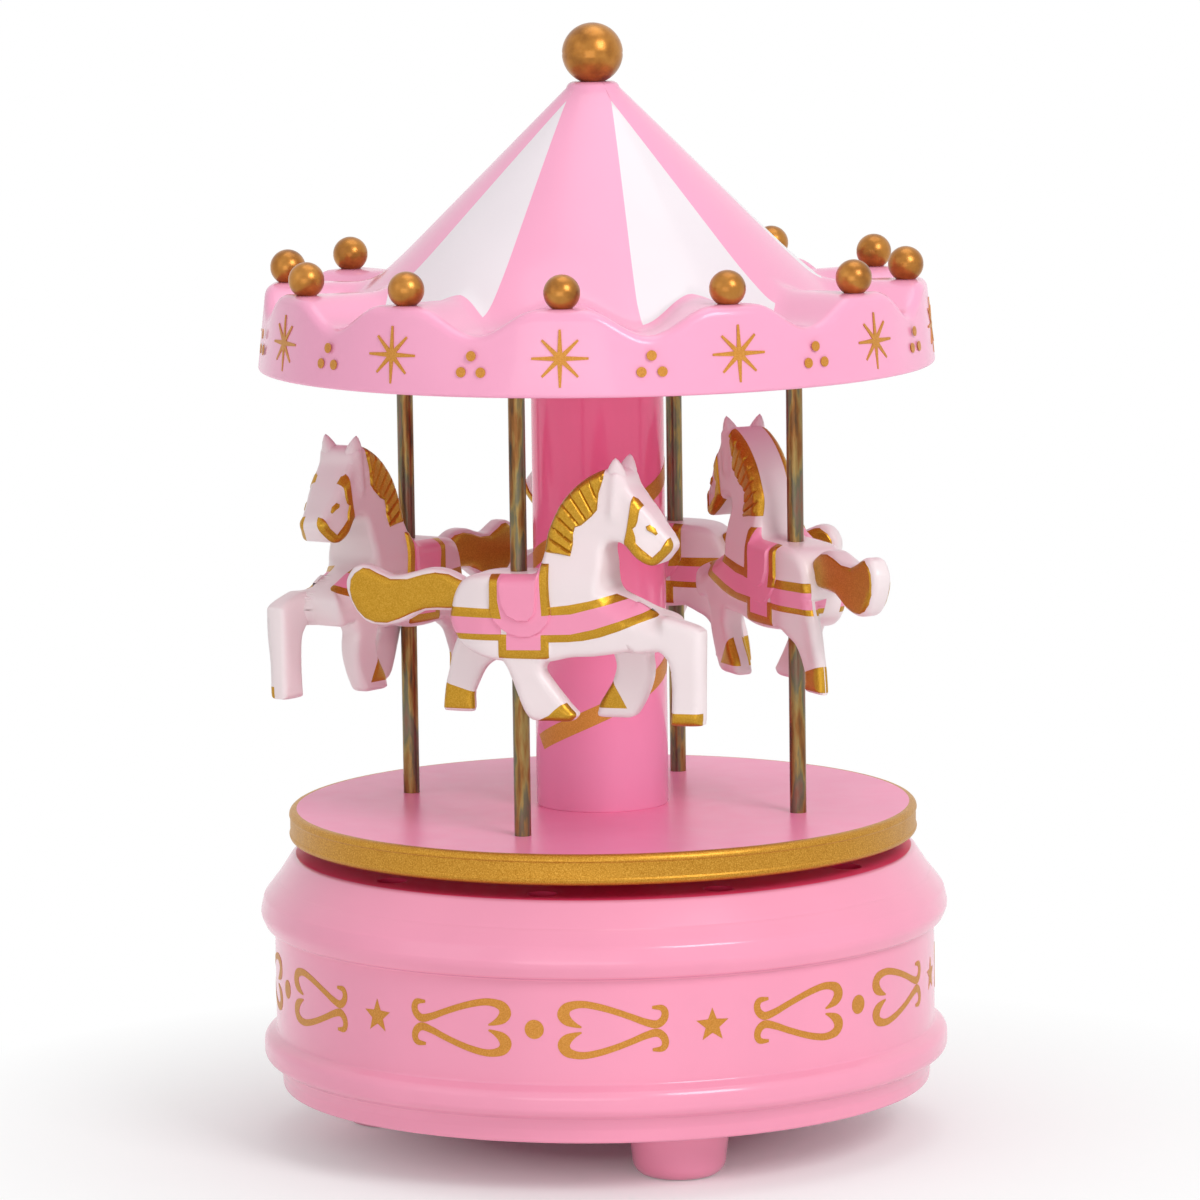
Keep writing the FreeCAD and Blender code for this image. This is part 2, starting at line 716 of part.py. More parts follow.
# Horse outlines at a length of 61.3 and a height of 41: forward of the pole, and above the hooves
OUTLINE_LENGTH = 61.3
OUTLINE_HEIGHT = 41.0
TORSO = ((-9.8, 16.4), (-7.4, 21.4), (0, 22.6), (7, 24.4), (14.5, 22.8), (21, 18.9), (25.4, 14.8),
         (22.6, 11.8), (12, 10.2), (-0.5, 9.2), (-7.6, 11.6))
NECK = ((4.6, 22), (6.1, 29), (9.4, 35), (14.6, 38.9), (18.9, 38.1), (22, 33.6), (25.8, 28.6),
        (23.4, 24.9), (18.6, 27.5), (15.3, 26.2), (16, 20.5), (10, 15.5))
TAIL = ((-19.1, 14.4), (-24.6, 13.7), (-28.6, 18.4), (-26.4, 22.6), (-20.5, 21.4), (-13.8, 22.6),
        (-8.4, 20), (-10.8, 16.8))
EAR = ((15.8, 38.2), (17.6, 41), (18.9, 37.6))
OUTER_FORELEG = ((19, 17), (28, 16.4), (31.5, 15.1), (31.9, 13.6), (31.7, 0), (26.2, 0), (26.4, 9),
                 (24.2, 11.6), (19, 12))
OUTER_HINDLEG = ((-4, 13), (8, 13), (5.4, 8.4), (10.6, 1.3), (10, 0.2), (3.8, 0.2), (2, 2), (-0.7, 8.8))
INNER_HINDLEG = ((-10.2, 14), (-2, 14), (-5.6, 8), (-8, 4.6), (-8.6, 0), (-13.8, 0), (-13, 6.6), (-11.6, 10.5))
INNER_FORELEG = ((13.5, 13.5), (21.5, 14), (20.9, 8.3), (20.2, 4.4), (17.8, 0.3), (12.2, 0.1), (12.2, 2.2),
                 (14.8, 6.4), (15.2, 8.6))


def horse_points(points):
    along = number("horse_length") / OUTLINE_LENGTH
    upward = number("horse_height") / OUTLINE_HEIGHT
    return [Vector(x * along, 0, z * upward) for x, z in points]


def drawn_in(points, depth):
    """The points of a clockwise outline moved inwards, square to the way between their neighbours."""
    moved = []
    for index, point in enumerate(points):
        way = points[(index + 1) % len(points)] - points[index - 1]
        moved.append(point + Vector(way.z, 0, -way.x).normalize() * depth)
    return moved


def rounded_slab(points, width, depth):
    """A slab with a smooth outline that is drawn in at both of its sides."""
    half = width / 2
    sections = []
    for across, inset in ((-half, depth), (depth - half, 0), (half - depth, 0), (half, depth)):
        curve = Part.BSplineCurve()
        curve.interpolate(drawn_in(horse_points(points), inset), PeriodicFlag=True)
        wire = Part.Wire(curve.toShape())
        wire.translate(Vector(0, across, 0))
        sections.append(wire)
    return Part.makeLoft(sections, True, True)


def plain_slab(points, middle, width):
    """A slab with a straight-sided outline, centred beside the horse's middle plane."""
    corners = horse_points(points)
    solid = Part.Face(Part.makePolygon(corners + corners[:1])).extrude(Vector(0, width, 0))
    solid.translate(Vector(0, middle - width / 2, 0))
    return solid


def horse_shape():
    leg_middle = (number("horse_width") - number("leg_width")) / 2
    pieces = [rounded_slab(NECK, number("neck_width"), number("horse_edge_round"))]
    pieces.append(rounded_slab(TAIL, number("tail_width"), number("tail_edge_round")))
    pieces += [plain_slab(leg, -leg_middle, number("leg_width")) for leg in (OUTER_FORELEG, OUTER_HINDLEG)]
    pieces += [plain_slab(leg, leg_middle, number("leg_width")) for leg in (INNER_FORELEG, INNER_HINDLEG)]
    for side in (-1, 1):
        pieces.append(plain_slab(EAR, side * number("ear_spread"), number("ear_width")))
    solid = rounded_slab(TORSO, number("horse_width"), number("horse_edge_round")).multiFuse(pieces)
    bore = Part.makeCylinder(number(POLE_HOLE), number("horse_height"))
    return solid.cut(bore).removeSplitter()


def make_horses():
    shape = horse_shape()
    for name, angle in zip(HORSES, spread("poles", "pole_angle")):
        horse = doc.addObject("Part::Feature", f"Horse{name.title()}")
        horse.Shape = shape
        x, y = around("pole_circle", angle)
        heading = number(f"{angle} + 90 + {name}_horse_yaw")
        foot = Vector(number(x), number(y), number(f"{name}_horse_z"))
        horse.Placement = FreeCAD.Placement(foot, Rotation(Vector(0, 0, 1), heading))
        sub_part(horse, f"horse_{name}")


def gap_outline(body, name, role, pitch_at, module, lift="0"):
    """The closed outline of one straight-sided tooth gap, opening away from its root."""
    half = f"tooth_gap_share * pi * {module} / 2"
    root = f"({half} - root_depth * {module} * tan(flank_angle))"
    mouth = f"({half} + 2 * {module} * tan(flank_angle))"
    root_at = f"{pitch_at} - root_depth * {module}"
    mouth_at = f"{pitch_at} + 2 * {module}"
    return outline(body, name, role, [
        (f"-{root}", root_at),
        (root, root_at),
        (mouth, mouth_at),
        (f"-{mouth}", mouth_at),
    ], lift)


def make_key():
    span = "(key_wing_length - key_wing_width)"
    half_width = "key_wing_width / 2"
    wing = box("KeyWing", span, "key_wing_width", "key_thickness",
               f"-{span} / 2", f"-{half_width}", "key_bottom")
    ends = [cylinder(f"KeyEnd{side}", half_width, "key_thickness", f"{side} * {span} / 2", z="key_bottom")
            for side in (-1, 1)]
    hub = cylinder("KeyHub", "key_hub_radius", "key_hub_top - key_bottom", z="key_bottom")
    bore = cylinder("KeyBore", "arbor_radius + seat_clearance", "key_hub_top - key_bottom - key_thickness",
                    z="key_bottom + key_thickness")
    sub_part(cut("WindingKey", fuse("KeySolid", [wing, hub] + ends), [bore]), "winding_key")
    arbor_bottom = "key_bottom + key_thickness"
    arbor_length = f"{BARREL_CEILING} - end_float - ({arbor_bottom})"
    arbor = cylinder("Arbor", "arbor_radius", arbor_length, z=arbor_bottom)
    collar = cylinder("ArborCollar", "arbor_collar_radius", "barrel_float - 2 * end_float",
                      z=f"{BEDPLATE_TOP} + end_float")
    sub_part(fuse("WindingArbor", [arbor, collar]), "winding_arbor")


def make_barrel():
    body = new_body("Barrel")
    crown_outside = f"{CROWN_RADIUS} + crown_face / 2"
    revolve(body, "BarrelProfile", [
        ("0", BARREL_TOP),
        ("0", BARREL_CEILING),
        ("barrel_radius - barrel_wall", BARREL_CEILING),
        ("barrel_radius - barrel_wall", BARREL_BOTTOM),
        ("barrel_radius", BARREL_BOTTOM),
        ("barrel_radius", f"{CROWN_ROOT} - crown_ring"),
        (crown_outside, f"{CROWN_ROOT} - crown_ring"),
        (crown_outside, CROWN_TIP),
        ("barrel_radius", CROWN_TIP),
        ("barrel_radius", BARREL_TOP),
    ])
    doc.recompute()
    gap = gap_outline(body, "CrownGap", "YZ_Plane", CROWN_PITCH_Z, "crown_module", "barrel_radius")
    pocket = feature(body, "Pocket", "CrownCut", gap, Length=f"{crown_outside} - barrel_radius")
    pocket.Reversed = True
    repeat(body, "CrownCuts", [pocket], "crown_teeth")
    sub_part(body, "spring_barrel")
    disc = cylinder("LidDisc", "barrel_radius - barrel_wall - seat_clearance", "lid_thickness",
                    z=BARREL_BOTTOM)
    hole = cylinder("LidHole", "arbor_radius + running_clearance", "lid_thickness", z=BARREL_BOTTOM)
    sub_part(cut("BarrelLid", disc, [hole]), "barrel_lid")


def make_mainspring():
    """A strip wound in half turns whose centres change from side to side as the radius grows."""
    strip = number("spring_strip")
    step = number("spring_pitch") / 2
    first = number("arbor_radius + spring_side_gap + spring_strip / 2")
    room = number("barrel_radius - barrel_wall - spring_side_gap - spring_strip / 2") - first
    half_turns = int(room / step) - 1
    rims = {-1: [], 1: []}
    for side in rims:
        for turn in range(half_turns):
            centre = Vector(step * (turn % 2), 0, 0)
            start = math.pi * (turn % 2)
            ring = Part.Circle(centre, Vector(0, 0, 1), first + turn * step + side * strip / 2)
            rims[side].append(Part.ArcOfCircle(ring, start, start + math.pi).toShape())
    caps = []
    for index in (0, -1):
        inner, outer = (rims[side][index].Vertexes[index].Point for side in (-1, 1))
        caps.append(Part.LineSegment(inner, outer).toShape())
    wire = Part.Wire(Part.__sortEdges__(rims[-1] + rims[1] + caps))
    bottom = number(f"{BARREL_BOTTOM} + lid_thickness + spring_side_gap")
    height = number(f"{BARREL_CEILING} - spring_side_gap") - bottom
    spring = doc.addObject("Part::Feature", "Mainspring")
    spring.Shape = Part.Face(wire).extrude(Vector(0, 0, height))
    spring.Placement = FreeCAD.Placement(Vector(0, 0, bottom), Rotation())
    sub_part(spring, "mainspring")


def make_gear(label, teeth, module, face, bore, x, y, turn="0"):
    """A straight-toothed gear on an axle along X; turn moves it by a share of a tooth."""
    body = new_body(label.title().replace("_", ""))
    pitch_radius = f"{module} * {teeth} / 2"
    feature(body, "Pad", f"{body.Name}Blank",
            circle(body, f"{body.Name}Rim", "YZ_Plane", f"{pitch_radius} + {module}"), Length=face)
    doc.recompute()
    gap = gap_outline(body, f"{body.Name}Gap", "YZ_Plane", f"({pitch_radius})", module)
    gap_cut = feature(body, "Pocket", f"{body.Name}GapCut", gap, Length=face)
    gap_cut.Reversed = True
    repeat(body, f"{body.Name}Gaps", [gap_cut], teeth, "X_Axis")
    doc.recompute()
    bore_cut = feature(body, "Pocket", f"{body.Name}Bore",
                       circle(body, f"{body.Name}BoreRim", "YZ_Plane", f"{bore} + seat_clearance"),
                       Length=face)
    bore_cut.Reversed = True
    place(body, x, y, AXLE_Z, turn=(Vector(1, 0, 0), turn))
    return sub_part(body, label)


def make_cylinder():
    """The pinned sleeve; each note's pins are spaced round it from a start of their own."""
    start = number("cylinder_start")
    length = number("cylinder_length")
    radius = number("cylinder_radius")
    notes = int(number("comb_teeth"))
    per_note = int(number("pins_per_note"))
    pin_length = number("tune_pin_height + tune_pin_root")
    along = Vector(1, 0, 0)
    sleeve = Part.makeCylinder(radius, length, Vector(start, 0, 0), along)
    sleeve = sleeve.cut(Part.makeCylinder(number("cylinder_arbor_radius + seat_clearance"), length,
                                          Vector(start, 0, 0), along))
    pins = []
    for note in range(notes):
        for beat in range(per_note):
            angle = note * number("note_turn") + beat * 360 / per_note
            foot = Vector(start + length * (note + 0.5) / notes, 0, radius - number("tune_pin_root"))
            pin = Part.makeCylinder(number("tune_pin_radius"), pin_length, foot)
            pins.append(pin.rotate(Vector(), along, angle))
    drum = doc.addObject("Part::Feature", "TuneCylinder")
    drum.Shape = sleeve.multiFuse(pins)
    drum.Placement = FreeCAD.Placement(Vector(0, 0, number(AXLE_Z)), Rotation())
    sub_part(drum, "tune_cylinder")
    arbor = cylinder("CylinderArbor", "cylinder_arbor_radius", f"{GOVERNOR_END} + end_float - {PINION_START}",
                     PINION_START, "0", AXLE_Z, axis="x")
    sub_part(arbor, "cylinder_arbor")


def make_train():
    make_gear("cylinder_pinion", "pinion_teeth", "crown_module", "crown_face", "cylinder_arbor_radius",
              PINION_START, "0", "180 / pinion_teeth")
    make_gear("cylinder_wheel", "wheel_teeth", "train_module", "wheel_face", "cylinder_arbor_radius",
              WHEEL_START, "0")
    make_gear("idler_pinion", "idler_teeth", "train_module", "wheel_face", "idler_arbor_radius",
              WHEEL_START, IDLER_Y, "180 / idler_teeth")
    make_gear("worm_wheel", "worm_wheel_teeth", "train_module", "worm_wheel_face", "idler_arbor_radius",
              f"{WORM_X} - worm_wheel_face / 2", IDLER_Y)
    idler = cylinder("IdlerArbor", "idler_arbor_radius", f"{WORM_X} + worm_wheel_face - idler_start",
                     "idler_start", IDLER_Y, AXLE_Z, axis="x")
    sub_part(idler, "idler_arbor")


def make_governor():
    body = new_body("WormShaft")
    pitch = "(pi * train_module)"
    foot = f"{BEDPLATE_TOP} + end_float"
    head = f"{ARM_BOTTOM} - end_float"
    revolve(body, "WormShaftProfile", [
        ("0", f"{BEDPLATE_BOTTOM} + end_float"),
        ("worm_pivot_radius", f"{BEDPLATE_BOTTOM} + end_float"),
        ("worm_pivot_radius", foot),
        ("worm_shaft_radius", foot),
        ("worm_shaft_radius", head),
        ("worm_pivot_radius", head),
        ("worm_pivot_radius", f"{ARM_BOTTOM} + bracket_thickness"),
        ("0", f"{ARM_BOTTOM} + bracket_thickness"),
    ])
    doc.recompute()
    start = f"({AXLE_Z} - (worm_turns / 2 + worm_phase) * {pitch})"
    root_half = "(worm_ridge / 2 + (worm_pitch_radius - worm_shaft_radius) * tan(flank_angle))"
    tip_half = "(worm_ridge / 2 - train_module * tan(flank_angle))"
    ridge = outline(body, "WormRidge", "XZ_Plane", [
        ("worm_shaft_radius - seat_clearance", f"{start} - {root_half}"),
        ("worm_pitch_radius + train_module", f"{start} - {tip_half}"),
        ("worm_pitch_radius + train_module", f"{start} + {tip_half}"),
        ("worm_shaft_radius - seat_clearance", f"{start} + {root_half}"),
    ])
    thread = feature(body, "AdditiveHelix", "WormThread", ridge)
    thread.ReferenceAxis = (ridge, ["V_Axis"])
    thread.Mode = "pitch-turns-angle"
    set_sizes(thread, Pitch=pitch, Turns="worm_turns")
    place(body, WORM_X, WORM_Y)
    sub_part(body, "worm_shaft")
    hub = cylinder("FanHub", "fan_hub_radius", "fan_height", WORM_X, WORM_Y, FAN_BOTTOM)
    vane = box("FanVane", "2 * fan_radius", "fan_thickness", "fan_height",
               f"{WORM_X} - fan_radius", f"{WORM_Y} - fan_thickness / 2", FAN_BOTTOM)
    bore = cylinder("FanBore", "worm_shaft_radius + seat_clearance", "fan_height", WORM_X, WORM_Y, FAN_BOTTOM)
    sub_part(cut("GovernorFan", fuse("FanSolid", [hub, vane]), [bore]), "governor_fan")


def tab_screw_places():
    """The middles of the brackets' tabs: cylinder, idler and governor bracket."""
    reach = "(bracket_thickness + bracket_tab / 2)"
    return [
        (f"{BRACKET_START} + {reach}", "0"),
        (f"idler_start + {reach}", IDLER_Y),
        (f"{GOVERNOR_START} + {reach}", IDLER_Y),
    ]


def bracket(name, x, low_y, high_y, tab_y, holes):
    """An upright plate with a screwed tab at its foot; returns its solids and its holes."""
    plate = box(f"{name}Plate", "bracket_thickness", f"{high_y} - ({low_y})",
                "axle_height + bracket_top_margin", x, low_y, BEDPLATE_TOP)
    tab = box(f"{name}Tab", "bracket_thickness + bracket_tab", "2 * bracket_tab_half", "bracket_thickness",
              x, f"{tab_y} - bracket_tab_half", BEDPLATE_TOP)
    cuts = [cylinder(f"{name}Hole{index}", radius, "bracket_thickness", x, y, AXLE_Z, axis="x")
            for index, (radius, y) in enumerate(holes)]
    cuts.append(cylinder(f"{name}TabHole", SCREW_HOLE, "bracket_thickness",
                         f"{x} + bracket_thickness + bracket_tab / 2", tab_y, BEDPLATE_TOP))
    return [plate, tab], cuts


def make_brackets():
    solids, cuts = bracket("CylinderBracket", BRACKET_START, "-bracket_half_width", "bracket_half_width", "0",
                           [(ARBOR_HOLE, "0")])
    sub_part(cut("CylinderBracket", fuse("CylinderBracketSolid", solids), cuts), "cylinder_bracket")
    solids, cuts = bracket("IdlerBracket", "idler_start", f"{IDLER_Y} - bracket_tab_half",
                           f"{IDLER_Y} + bracket_tab_half", IDLER_Y, [(IDLER_HOLE, IDLER_Y)])
    sub_part(cut("IdlerBracket", fuse("IdlerBracketSolid", solids), cuts), "idler_bracket")
    low_y = f"({IDLER_Y} - bracket_tab_half)"
    solids, cuts = bracket("GovernorBracket", GOVERNOR_START, low_y, "bracket_half_width", IDLER_Y,
                           [(ARBOR_HOLE, "0"), (IDLER_HOLE, IDLER_Y)])
    arm_top = f"({ARM_BOTTOM} + bracket_thickness)"
    solids.append(box("GovernorRiser", "bracket_thickness", f"{WORM_Y} - fan_radius - {low_y}",
                      f"{arm_top} - {BEDPLATE_TOP}", GOVERNOR_START, low_y, BEDPLATE_TOP))
    solids.append(box("GovernorArm", f"{WORM_X} + arm_half_width - {GOVERNOR_START}",
                      f"{WORM_Y} + arm_half_width - {low_y}", "bracket_thickness",
                      GOVERNOR_START, low_y, ARM_BOTTOM))
    cuts.append(cylinder("ArmHole", PIVOT_HOLE, "bracket_thickness", WORM_X, WORM_Y, ARM_BOTTOM))
    sub_part(cut("GovernorBracket", fuse("GovernorBracketSolid", solids), cuts), "governor_bracket")
    screws = [screw(f"BracketScrew{index}", x, y, TAB_TOP, "bracket_thickness + bedplate_thickness", up=False)
              for index, (x, y) in enumerate(tab_screw_places())]
    sub_part(group("BracketScrews", screws), "bracket_screws")


def comb_screw_places():
    y = f"{COMB_END} - comb_screw_inset"
    cylinder_end = "cylinder_start + cylinder_length"
    return [("cylinder_start + comb_screw_inset", y), (f"{cylinder_end} - comb_screw_inset", y)]


def make_comb():
    body = new_body("Comb")
    spacing = "cylinder_length / comb_teeth"
    blank = outline(body, "CombOutline", "XY_Plane", [
        ("cylinder_start", COMB_START),
        ("cylinder_start + cylinder_length", COMB_START),
        ("cylinder_start + cylinder_length", COMB_END),
        ("cylinder_start", COMB_END),
    ], COMB_BOTTOM)
    feature(body, "Pad", "CombBlank", blank, Length="comb_thickness")
    doc.recompute()
    slot = outline(body, "CombSlot", "XY_Plane", [
        (f"cylinder_start + {spacing} - comb_slot / 2", COMB_START),
        (f"cylinder_start + {spacing} + comb_slot / 2", COMB_START),
        (f"cylinder_start + {spacing} + comb_slot / 2", f"{COMB_START} + comb_tooth_length"),
        (f"cylinder_start + {spacing} - comb_slot / 2", f"{COMB_START} + comb_tooth_length"),
    ], COMB_BOTTOM)
    slot_cut = feature(body, "Pocket", "CombSlotCut", slot, Length="comb_thickness")
    slot_cut.Reversed = True
    slots = body.newObject("PartDesign::LinearPattern", "CombSlots")
    slots.Originals = [slot_cut]
    slots.Direction = (origin(body, "X_Axis"), [""])
    set_sizes(slots, Length=f"{spacing} * (comb_teeth - 2)", Occurrences="comb_teeth - 1")
    body.Tip = slots
    for index, (x, y) in enumerate(comb_screw_places()):
        doc.recompute()
        hole = feature(body, "Pocket", f"CombHole{index}",
                       circle(body, f"CombHoleRim{index}", "XY_Plane", SCREW_HOLE, x, y, COMB_BOTTOM),
                       Length="comb_thickness")
        hole.Reversed = True
    sub_part(body, "comb")
    rail = box("RailBlock", "cylinder_length", f"{COMB_END} - {RAIL_START}",
               f"{COMB_BOTTOM} - {BEDPLATE_TOP}", "cylinder_start", RAIL_START, BEDPLATE_TOP)
    threads = [cylinder(f"RailThread{index}", THREAD_HOLE, "comb_screw_grip",
                        x, y, f"{COMB_BOTTOM} - comb_screw_grip")
               for index, (x, y) in enumerate(comb_screw_places())]
    sub_part(cut("CombRail", rail, threads), "comb_rail")
    grip = "comb_thickness + comb_screw_grip - end_float"
    screws = [screw(f"CombScrew{index}", x, y, f"{COMB_BOTTOM} + comb_thickness", grip, up=False)
              for index, (x, y) in enumerate(comb_screw_places())]
    sub_part(group("CombScrews", screws), "comb_screws")


def make_bedplate():
    main = box("BedplateMain", "bedplate_front - bedplate_back", "2 * bedplate_half_width",
               "bedplate_thickness", "bedplate_back", "-bedplate_half_width", BEDPLATE_BOTTOM)
    wing = box("BedplateWing", "comb_wing_end - comb_wing_start", "comb_wing_reach", "bedplate_thickness",
               "comb_wing_start", "0", BEDPLATE_BOTTOM)
    holes = [cylinder("BedplateArborHole", "arbor_radius + running_clearance", "bedplate_thickness",
                      z=BEDPLATE_BOTTOM),
             cylinder("BedplateWormHole", PIVOT_HOLE, "bedplate_thickness", WORM_X, WORM_Y, BEDPLATE_BOTTOM)]
    for index, (x, y) in enumerate(movement_screw_places() + tab_screw_places()):
        holes.append(cylinder(f"BedplateThread{index}", THREAD_HOLE, "bedplate_thickness",
                              x, y, BEDPLATE_BOTTOM))
    sub_part(cut("Bedplate", fuse("BedplateSolid", [main, wing]), holes), "movement_bedplate")


def check_and_write():
    """Stop on a failed object or a bad shape, then write every sub-part."""
    doc.recompute()
    for obj in doc.Objects:
        if "Invalid" in obj.State or "Error" in obj.State:
            raise RuntimeError(f"{obj.Label} failed: {obj.State}")
    for obj in sub_parts:
        if obj.Shape.isNull() or not obj.Shape.isValid():
            raise RuntimeError(f"{obj.Label} has no valid shape")
    os.makedirs("parts", exist_ok=True)
    for obj in sub_parts:
        obj.Shape.exportStep(f"parts/{obj.Label}.step")


make_base_shell()
make_bottom_cover()
for foot_index, foot_turn in enumerate(spread("feet", "foot_angle"), start=1):
    make_foot(foot_index, foot_turn)
make_base_screws()
make_deck_bush()
make_bedplate()
make_brackets()
make_comb()
make_key()
make_barrel()
make_mainspring()
make_cylinder()
make_train()
make_governor()
make_platform()
make_drive()
make_column()
make_poles()
make_ceiling()
make_roof()
make_balls()
make_horses()
check_and_write()
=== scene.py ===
import math

import bpy
import numpy as np
from mathutils import Euler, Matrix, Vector
from mathutils.geometry import delaunay_2d_cdt


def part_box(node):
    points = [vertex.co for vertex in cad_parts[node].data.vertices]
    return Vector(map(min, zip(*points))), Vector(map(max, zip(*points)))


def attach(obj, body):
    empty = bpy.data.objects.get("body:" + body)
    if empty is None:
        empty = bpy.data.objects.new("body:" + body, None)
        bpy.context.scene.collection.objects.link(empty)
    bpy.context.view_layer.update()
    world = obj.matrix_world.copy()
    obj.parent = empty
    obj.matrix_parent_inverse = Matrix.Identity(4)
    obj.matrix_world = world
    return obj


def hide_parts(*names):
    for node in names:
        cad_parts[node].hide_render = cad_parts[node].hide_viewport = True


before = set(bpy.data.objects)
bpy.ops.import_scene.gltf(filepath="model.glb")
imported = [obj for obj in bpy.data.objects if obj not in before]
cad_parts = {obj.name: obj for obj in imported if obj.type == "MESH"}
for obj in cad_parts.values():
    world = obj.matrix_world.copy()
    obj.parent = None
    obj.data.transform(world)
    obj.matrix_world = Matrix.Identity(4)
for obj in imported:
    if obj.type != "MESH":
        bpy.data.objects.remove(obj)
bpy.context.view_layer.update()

MM = 0.001
TURN = 2 * math.pi

# Levels and radii of the object, in millimetres
BASE_BOTTOM, DECK_Z, DECK_UNDER = 8.6, 45.9, 43.7
WALL_RADIUS, DECK_RADIUS, DECK_FLAT, DECK_UNDER_FLAT = 52.6, 49.5, 48, 47.3
BUSH_RADIUS = 5.05
PLATFORM_BOTTOM, PLATFORM_TOP, PLATFORM_RADIUS = 48.2, 53.0, 50.0
COLUMN_RADIUS, COLUMN_BORE, CEILING_Z, CEILING_TOP = 10.5, 8.9, 124.8, 127.0
ROOF_BOTTOM, ROOF_PEAK, ROOF_RADIUS, ROOF_TOP_RADIUS = 123.2, 136.4, 53.5, 52.3
VALLEY_DEPTH, VALLEY_HALF_WIDTH, PEAKS, FIRST_PEAK = 4.1, 9.9, 12, -6
SOUND_HOLES, FIRST_SOUND_HOLE, SOUND_HOLE_CIRCLE, SOUND_HOLE_RADIUS = 10, 23.6, 44.0, 2.4
POLE_CIRCLE = 33.2


# Shader helpers

def set_values(node, values):
    for name, value in values.items():
        node.inputs[name].default_value = value


def add_node(tree, kind, **links):
    """A new shader node, with sources linked to some of its inputs."""
    node = tree.nodes.new(f"ShaderNode{kind}")
    for name, source in links.items():
        tree.links.new(source, node.inputs[name])
    return node


def new_material(name, colour, roughness, metallic=0.0, coat=0.0, coat_roughness=0.1):
    """A material with its even values on the shader."""
    material = bpy.data.materials.new(name)
    material.use_nodes = True
    material.diffuse_color = (*colour, 1)
    shader = material.node_tree.nodes["Principled BSDF"]
    set_values(shader, {"Base Color": (*colour, 1), "Roughness": roughness, "Metallic": metallic,
                        "Coat Weight": coat, "Coat Roughness": coat_roughness})
    return material, shader


def noise(material, scale, detail, stretch=(1, 1, 1)):
    """A noise over the object's own coordinates, in cycles per metre."""
    tree = material.node_tree
    place = add_node(tree, "TexCoord")
    mapping = add_node(tree, "Mapping", Vector=place.outputs["Object"])
    set_values(mapping, {"Scale": stretch})
    texture = add_node(tree, "TexNoise", Vector=mapping.outputs["Vector"])
    set_values(texture, {"Scale": scale, "Detail": detail})
    return texture.outputs["Fac"]


def vary_colour(material, shader, source, stops):
    """Colour stops along a source of 0 to 1, linked to the base colour."""
    tree = material.node_tree
    ramp = add_node(tree, "ValToRGB", Fac=source)
    while len(ramp.color_ramp.elements) < len(stops):
        ramp.color_ramp.elements.new(0.5)
    for element, (position, colour) in zip(ramp.color_ramp.elements, stops):
        element.position = position
        element.color = (*colour, 1)
    tree.links.new(ramp.outputs["Color"], shader.inputs["Base Color"])


def vary_roughness(material, shader, source, low, high):
    tree = material.node_tree
    spread = add_node(tree, "MapRange", Value=source)
    set_values(spread, {"To Min": low, "To Max": high})
    tree.links.new(spread.outputs["Result"], shader.inputs["Roughness"])


def add_bump(material, shader, source, height):
    """Bump of that height in metres."""
    tree = material.node_tree
    bump = add_node(tree, "Bump", Height=source)
    set_values(bump, {"Strength": 1.0, "Distance": height})
    tree.links.new(bump.outputs["Normal"], shader.inputs["Normal"])


def shade(colour, factor):
    return tuple(min(1.0, channel * factor) for channel in colour)


def plain_plastic(name, colour, roughness, coat, gloss):
    """Plastic of one colour with uneven gloss and a little orange peel."""
    material, shader = new_material(name, colour, roughness, coat=coat, coat_roughness=0.06)
    shader.inputs["Specular IOR Level"].default_value = gloss
    vary_roughness(material, shader, noise(material, 260, 4.0), roughness - 0.05, roughness + 0.07)
    add_bump(material, shader, noise(material, 900, 1.0), 0.000006)
    return material, shader


def moulded_plastic(name, colour, roughness, coat, gloss=0.4):
    """Glossy moulded plastic with faint flow mottling."""
    material, shader = plain_plastic(name, colour, roughness, coat, gloss)
    flow = noise(material, 38, 2.0, (1, 1, 0.35))
    vary_colour(material, shader, flow, [(0.3, shade(colour, 0.96)), (0.7, shade(colour, 1.03))])
    return material


def column_plastic_with_painted_shade():
    """Glossy plastic that is paler at the column's foot and deeper towards the roof; the deeper colour is
    painted shade from the roof.
    """
    pale, pale_z = (0.93, 0.36, 0.57), 60
    # Painted shade: the colour darkens and deepens upwards, standing for the shade under the roof
    roof_shade, roof_shade_z = (0.97, 0.16, 0.34), 105
    material, shader = plain_plastic("column_pink", (0.95, 0.25, 0.45), 0.16, 0.1, 0.35)
    tree = material.node_tree
    place = add_node(tree, "TexCoord")
    axes = add_node(tree, "SeparateXYZ", Vector=place.outputs["Object"])
    height = add_node(tree, "MapRange", Value=axes.outputs["Z"])
    set_values(height, {"From Min": pale_z * MM, "From Max": roof_shade_z * MM})
    vary_colour(material, shader, height.outputs["Result"], [(0.0, pale), (1.0, roof_shade)])
    return material


def metal_paint(name, dark, middle, bright, roughness, metallic, height):
    """Gold paint with fine flakes: three tones along a fine noise, and a sandy bump."""
    material, shader = new_material(name, middle, roughness, metallic=metallic)
    flakes = noise(material, 5200, 6.0)
    vary_colour(material, shader, flakes, [(0.32, dark), (0.5, middle), (0.68, bright)])
    vary_roughness(material, shader, noise(material, 420, 3.0), roughness - 0.06, roughness + 0.1)
    add_bump(material, shader, flakes, height)
    return material


def turned_metal(name, colour, roughness, stretch=(1, 1, 12)):
    """Machined metal with fine lines across its length."""
    material, shader = new_material(name, colour, roughness, metallic=1.0)
    lines = noise(material, 700, 4.0, stretch)
    vary_colour(material, shader, lines, [(0.3, shade(colour, 0.8)), (0.7, shade(colour, 1.1))])
    vary_roughness(material, shader, noise(material, 180, 3.0), roughness - 0.05, roughness + 0.1)
    add_bump(material, shader, lines, 0.00001)
    return material


